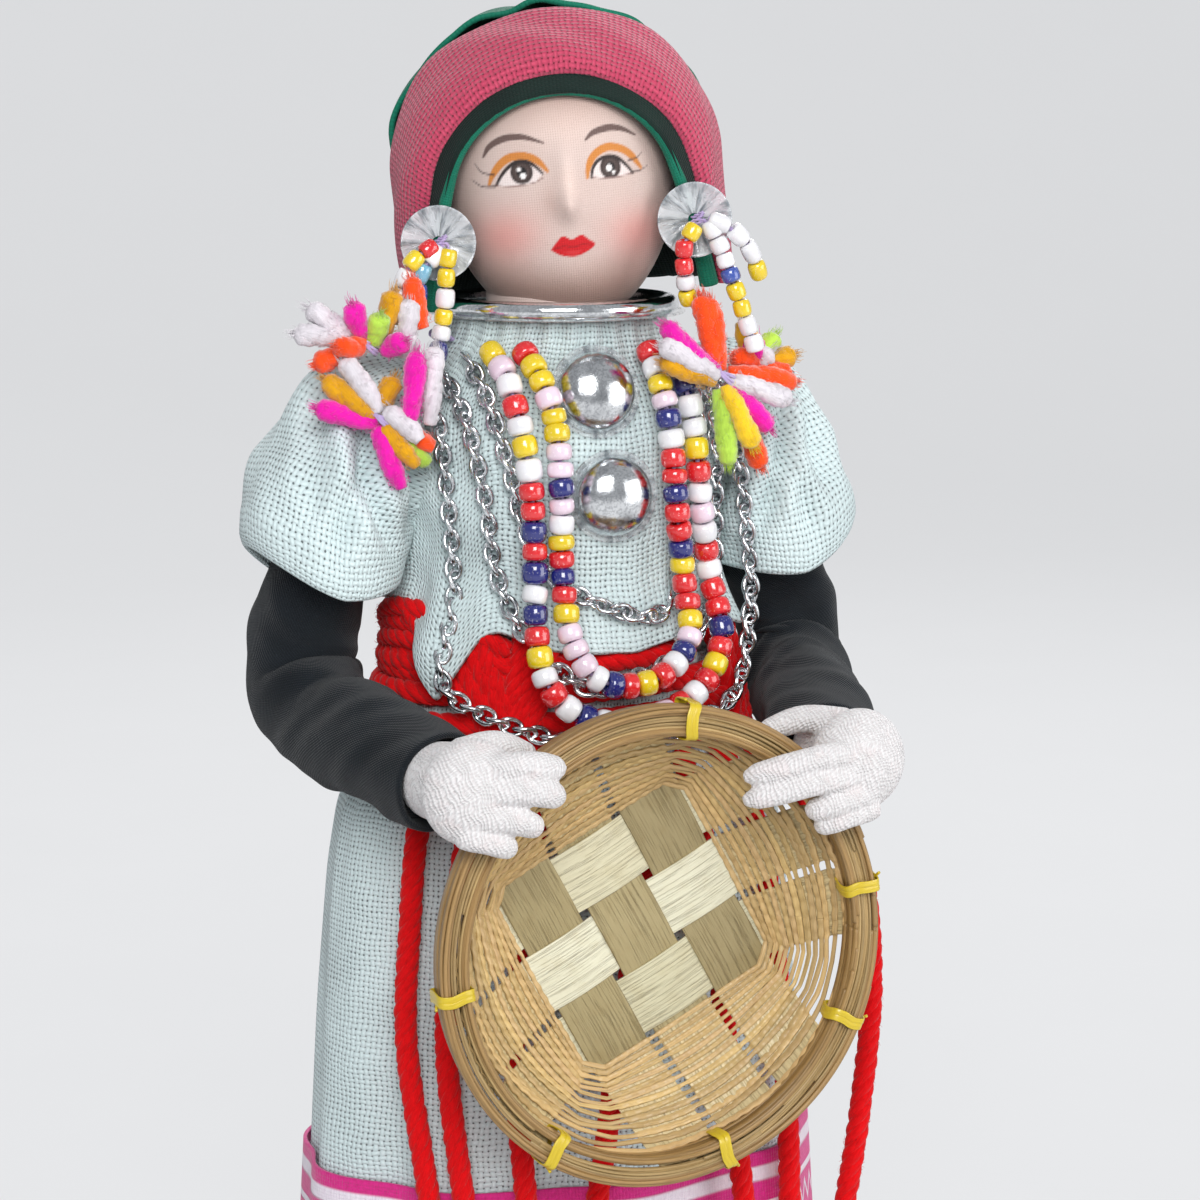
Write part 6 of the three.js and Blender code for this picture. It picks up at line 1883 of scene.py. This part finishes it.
def add_ear(key, side):
    profile = [(0.9, 0.0), (1.6, 0.02), (2.7, 0.15), (4.0, 0.5), (5.0, 0.95), (5.3, 1.15), (5.32, 1.35),
        (5.2, 1.42),
               (4.9, 1.25), (3.9, 0.86), (2.7, 0.6), (1.6, 0.48), (0.9, 0.46)]
    angle = np.linspace(0, TURN, 72, endpoint=False)
    crumple = 0.12 * np.sin(3 * angle + side) + 0.06 * np.sin(7 * angle)
    rows = [[(side * EAR_SIDE + r * math.cos(a), -EAR_FORWARD - d - crumple[i] * r / 5.3,
        -EAR_DROP + r * math.sin(a))
             for i, a in enumerate(angle)] for r, d in profile]
    disc = Shape().grid(from_head(rows), wrap=True)
    disc.made(f"{key}_clear_disc", clear_plastic, "root", [f"{key}_ear_disc"], "clear_plastic")
    knot = ear_place(side)
    beads, thread = Shape(), Shape()
    for route, colours in STRANDS[key]:
        points = [(knot[0] + x, knot[1] - ahead - 1.4, knot[2] + z) for x, ahead, z in route]
        strung(beads, thread, through(points, step=0.3), colours.split(), 2.75)
    loops = [[(0, -1.2, 0.2), (0.9, 0.6, 1.0), (0.1, 1.8, 0.4), (-0.8, 0.8, -0.4), (0.2, -0.9, -0.2)],
             [(-0.4, 1.6, -0.6), (0.5, 2.1, 0.1), (0.8, 1.5, -1.2), (0.2, 1.2, -1.8)]]
    for loop in loops:
        points = [(knot[0] + x, knot[1] - ahead, knot[2] + z) for x, ahead, z in loop]
        spun(thread, through(points, step=0.2), 0.3, LILAC, pitch=1.6, step=0.15, sides=5)
    slot = "white_beads" if side < 0 else "yellow_beads"
    beads.made(f"{key}_ear_strands", bead_plastic, f"{key}_earring", [f"{key}_ear_beads"], slot)
    thread.made(f"{key}_ear_threads", bead_thread, f"{key}_earring", slot="thread")


def tuft(shape, hairs, start, end, tint):
    """Short thick yarn end: spun in the middle, frayed and wider at its free end"""
    start, end = np.asarray(start, float), np.asarray(end, float)
    bow = unit(np.cross(end - start, rng.normal(0, 1, 3))) * rng.uniform(0.1, 0.5)
    path = through([start, (start + end) / 2 + bow, end], step=0.35)
    t = np.linspace(0, 1, len(path))
    radius = np.interp(t, [0, 0.06, 0.2, 0.7, 1], [1.15, 1.5, 1.62, 1.45, 0.95])
    _, across, over = frames_along(path)
    phase = rng.uniform(0, TURN)
    walked = t * length_of(path)
    for k in range(2):
        angle = TURN * (walked / 11 + k / 2) + phase
        line = path + (radius * 0.16)[:, None] * (
            across * np.cos(angle)[:, None] + over * np.sin(angle)[:, None])
        tone = tuple(np.array(tint) * (0.95 + 0.1 * k))
        shape.tube(line, radius * 0.88 * (1 + 0.05 * np.sin(walked * 4 + k)), 12, tone)
    ahead = unit(start - end)
    shape.tube(np.array([start + ahead * d for d in (-0.4, 0.1, 0.45, 0.6)]), [1.3, 1.15, 0.7, 0.1], 10, tint)
    fuzz(hairs, [path], 1.6, tint, 30, (0.4, 1.3), 0.034)
    for _ in range(46):
        spread = unit(rng.normal(0, 1, 3)) * rng.uniform(0.1, 1.2)
        tip = start + spread + ahead * rng.uniform(0.7, 1.6)
        hairs.tube(through([start + spread * 0.7, (start + spread + tip) / 2 + rng.normal(0, 0.12, 3), tip],
            count=4),
                   np.array([0.05, 0.045, 0.035, 0.02]), 3, tint, (False, False))


def add_tassel(name, node, body, slot, heart, tufts):
    shape, hairs = Shape(), Shape()
    for colour, start, end in tufts:
        tuft(shape, hairs, start, end, YARNS[colour])
    heart = np.asarray(heart)
    for k in range(3):
        tilt = unit(np.array((0.4 + 0.3 * k, 0.2 - 0.3 * k, 0.9)))
        first = unit(np.cross(tilt, (0, 1, 0.1)))
        second = np.cross(tilt, first)
        turn = np.linspace(0, TURN * 1.1, 14)
        loop = [heart + 1.75 * (first * math.cos(a) + second * math.sin(a)) + tilt * 0.05 * a for a in turn]
        shape.tube(through(loop, step=0.25), 0.26, 6, LILAC)
    shape.made(name, tassel_yarn, body, [node], slot)
    hairs.made(f"{name}_fuzz", tassel_yarn, body, slot=slot)


for key, side in (("right", -1), ("left", 1)):
    add_ear(key, side)
for row in TASSELS:
    add_tassel(*row)


# Hands of white knit cloth, wrapped and stuffed, with the fingers inside the rim

FINGERS = {
    "right": [
        ([(-3.6, 3.6, 5.6), (2.5, 5.3, 6.2), (8.8, 3.8, 4.8)], 1.9),
        ([(-3.4, 4.2, 2.6), (3, 5.9, 2.8), (8.6, 4.0, 1.0)], 1.95),
        ([(-4.4, 4.2, -0.6), (1.4, 5.6, -1.2), (5.4, 3.8, -3.0)], 1.85),
        ([(-6, 3.8, -3.0), (-1.4, 5.0, -4.2), (1.8, 3.6, -5.6)], 1.7),
    ],
    "left": [
        ([(-3.0, 4.0, 3.8), (4, 6.0, 4.0), (10, 5.0, 2.6), (14.2, 3.6, 1.5)], 1.75),
        ([(-3.0, 4.4, 0.8), (4, 6.2, 0.6), (10, 5.0, -0.7), (14.2, 3.5, -1.8)], 1.75),
        ([(-4.4, 4.2, -2.0), (0.8, 5.6, -2.6), (5.2, 4.3, -4.0)], 1.75),
        ([(-5.6, 3.8, -4.2), (-0.4, 5.0, -5.0), (3.6, 3.8, -6.4)], 1.65),
    ],
}
THUMBS = {"right": [(-4, -2.2, 6.6), (2, -4.2, 7.0), (7.8, -4.9, 4.6)],
    "left": [(-4, -2.2, 6.6), (2, -4.2, 7.2), (8.4, -4.9, 5.4)]}


def knit_cloth():
    paint = Paint("hand_cloth")
    place = paint.solid_place()
    x, y, z = [paint.node("ShaderNodeSeparateXYZ", None, {0: place}, output=i) for i in range(3)]
    bend = paint.noise(place, 0.35, 2.0)
    crepe = paint.noise(place, 1.7, 4.0, 0.65)
    ribs = ((x * 1.0 + z * 0.35 + bend * 2.4) * (TURN / 0.62)).sine() * 0.5 + 0.5
    loops = ((z * 1.0 - x * 0.3 + y * 0.5 + bend * 2.0) * (TURN / 0.5)).sine() * 0.5 + 0.5
    height = ribs * 0.5 + loops * 0.3 + crepe * 0.9
    # Painted shade: the deeper places of the knit are darker, in a pinkish grey
    colour = paint.mix((1 - height / 1.7).between() * 0.75, rgb(240, 241, 241), rgb(190, 176, 176))
    colour = paint.mix(bend.rise(0.5, 0.7) * 0.2, colour, rgb(228, 206, 204))
    return paint.finish(colour, 0.92, paint.bump(height, 0.26), Sheen_Weight=0.4, Specular_IOR_Level=0.2)


hand_cloth = knit_cloth()


def add_hand(key):
    side = ARMS[key]["side"]
    grip = (side * GRIP.x, GRIP.y, GRIP.z)

    def place(across, ahead, up):
        return np.array((grip[0] - side * across, grip[1] - ahead, grip[2] + up))

    shape = Shape()
    palm = place(-3.6, 2.1, 2.3)
    rows = []
    for a in np.radians(np.linspace(-88, 88, 16)):
        for_row = [palm + (6.9 * math.cos(a) * math.cos(b), 4.6 * math.cos(a) * math.sin(b),
            7.3 * math.sin(a))
                   for b in np.linspace(0, TURN, 28, endpoint=False)]
        rows.append(for_row)
    shape.grid(rows, wrap=True, caps=(True, True))
    wrist = np.array(wrist_of(side))
    arm_end = wrist + (palm - wrist) * -0.12
    shape.tube(through([arm_end, (wrist + palm) / 2 + (side * 0.5, 0, 0.4), palm], count=14),
        np.linspace(5.4, 5.9, 14), 24)
    for points, radius in FINGERS[key]:
        path = through([place(*p) for p in points], count=22)
        t = np.linspace(0, 1, 22)
        width = radius * np.interp(t, [0, 0.2, 0.45, 0.7, 0.9, 1], [0.95, 1.08, 1.0, 1.04, 0.92, 0.42])
        shape.tube(path, width, 16)
    path = through([place(*p) for p in THUMBS[key]], count=20)
    shape.tube(path, np.interp(np.linspace(0, 1, 20), [0, 0.6, 0.9, 1], [2.2, 1.9, 1.6, 0.7]), 16)
    hand = shape.made(f"{key}_knit_hand", hand_cloth, "forearms", [f"{key}_hand"], "hand_cloth")
    remesh = hand.modifiers.new("joined", "REMESH")
    remesh.mode = "VOXEL"
    remesh.voxel_size = 0.36 * MM
    soften = hand.modifiers.new("soften", "SMOOTH")
    soften.factor = 0.6
    soften.iterations = 6


add_hand("right")
add_hand("left")


steel_nodes = ["right_leg_wire", "left_leg_wire", "shoulder_wire", "spine_wire", "right_forearm_wire",
    "left_forearm_wire"]
for name in steel_nodes:
    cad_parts[name].data.materials.clear()
    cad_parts[name].data.materials.append(steel_wire)
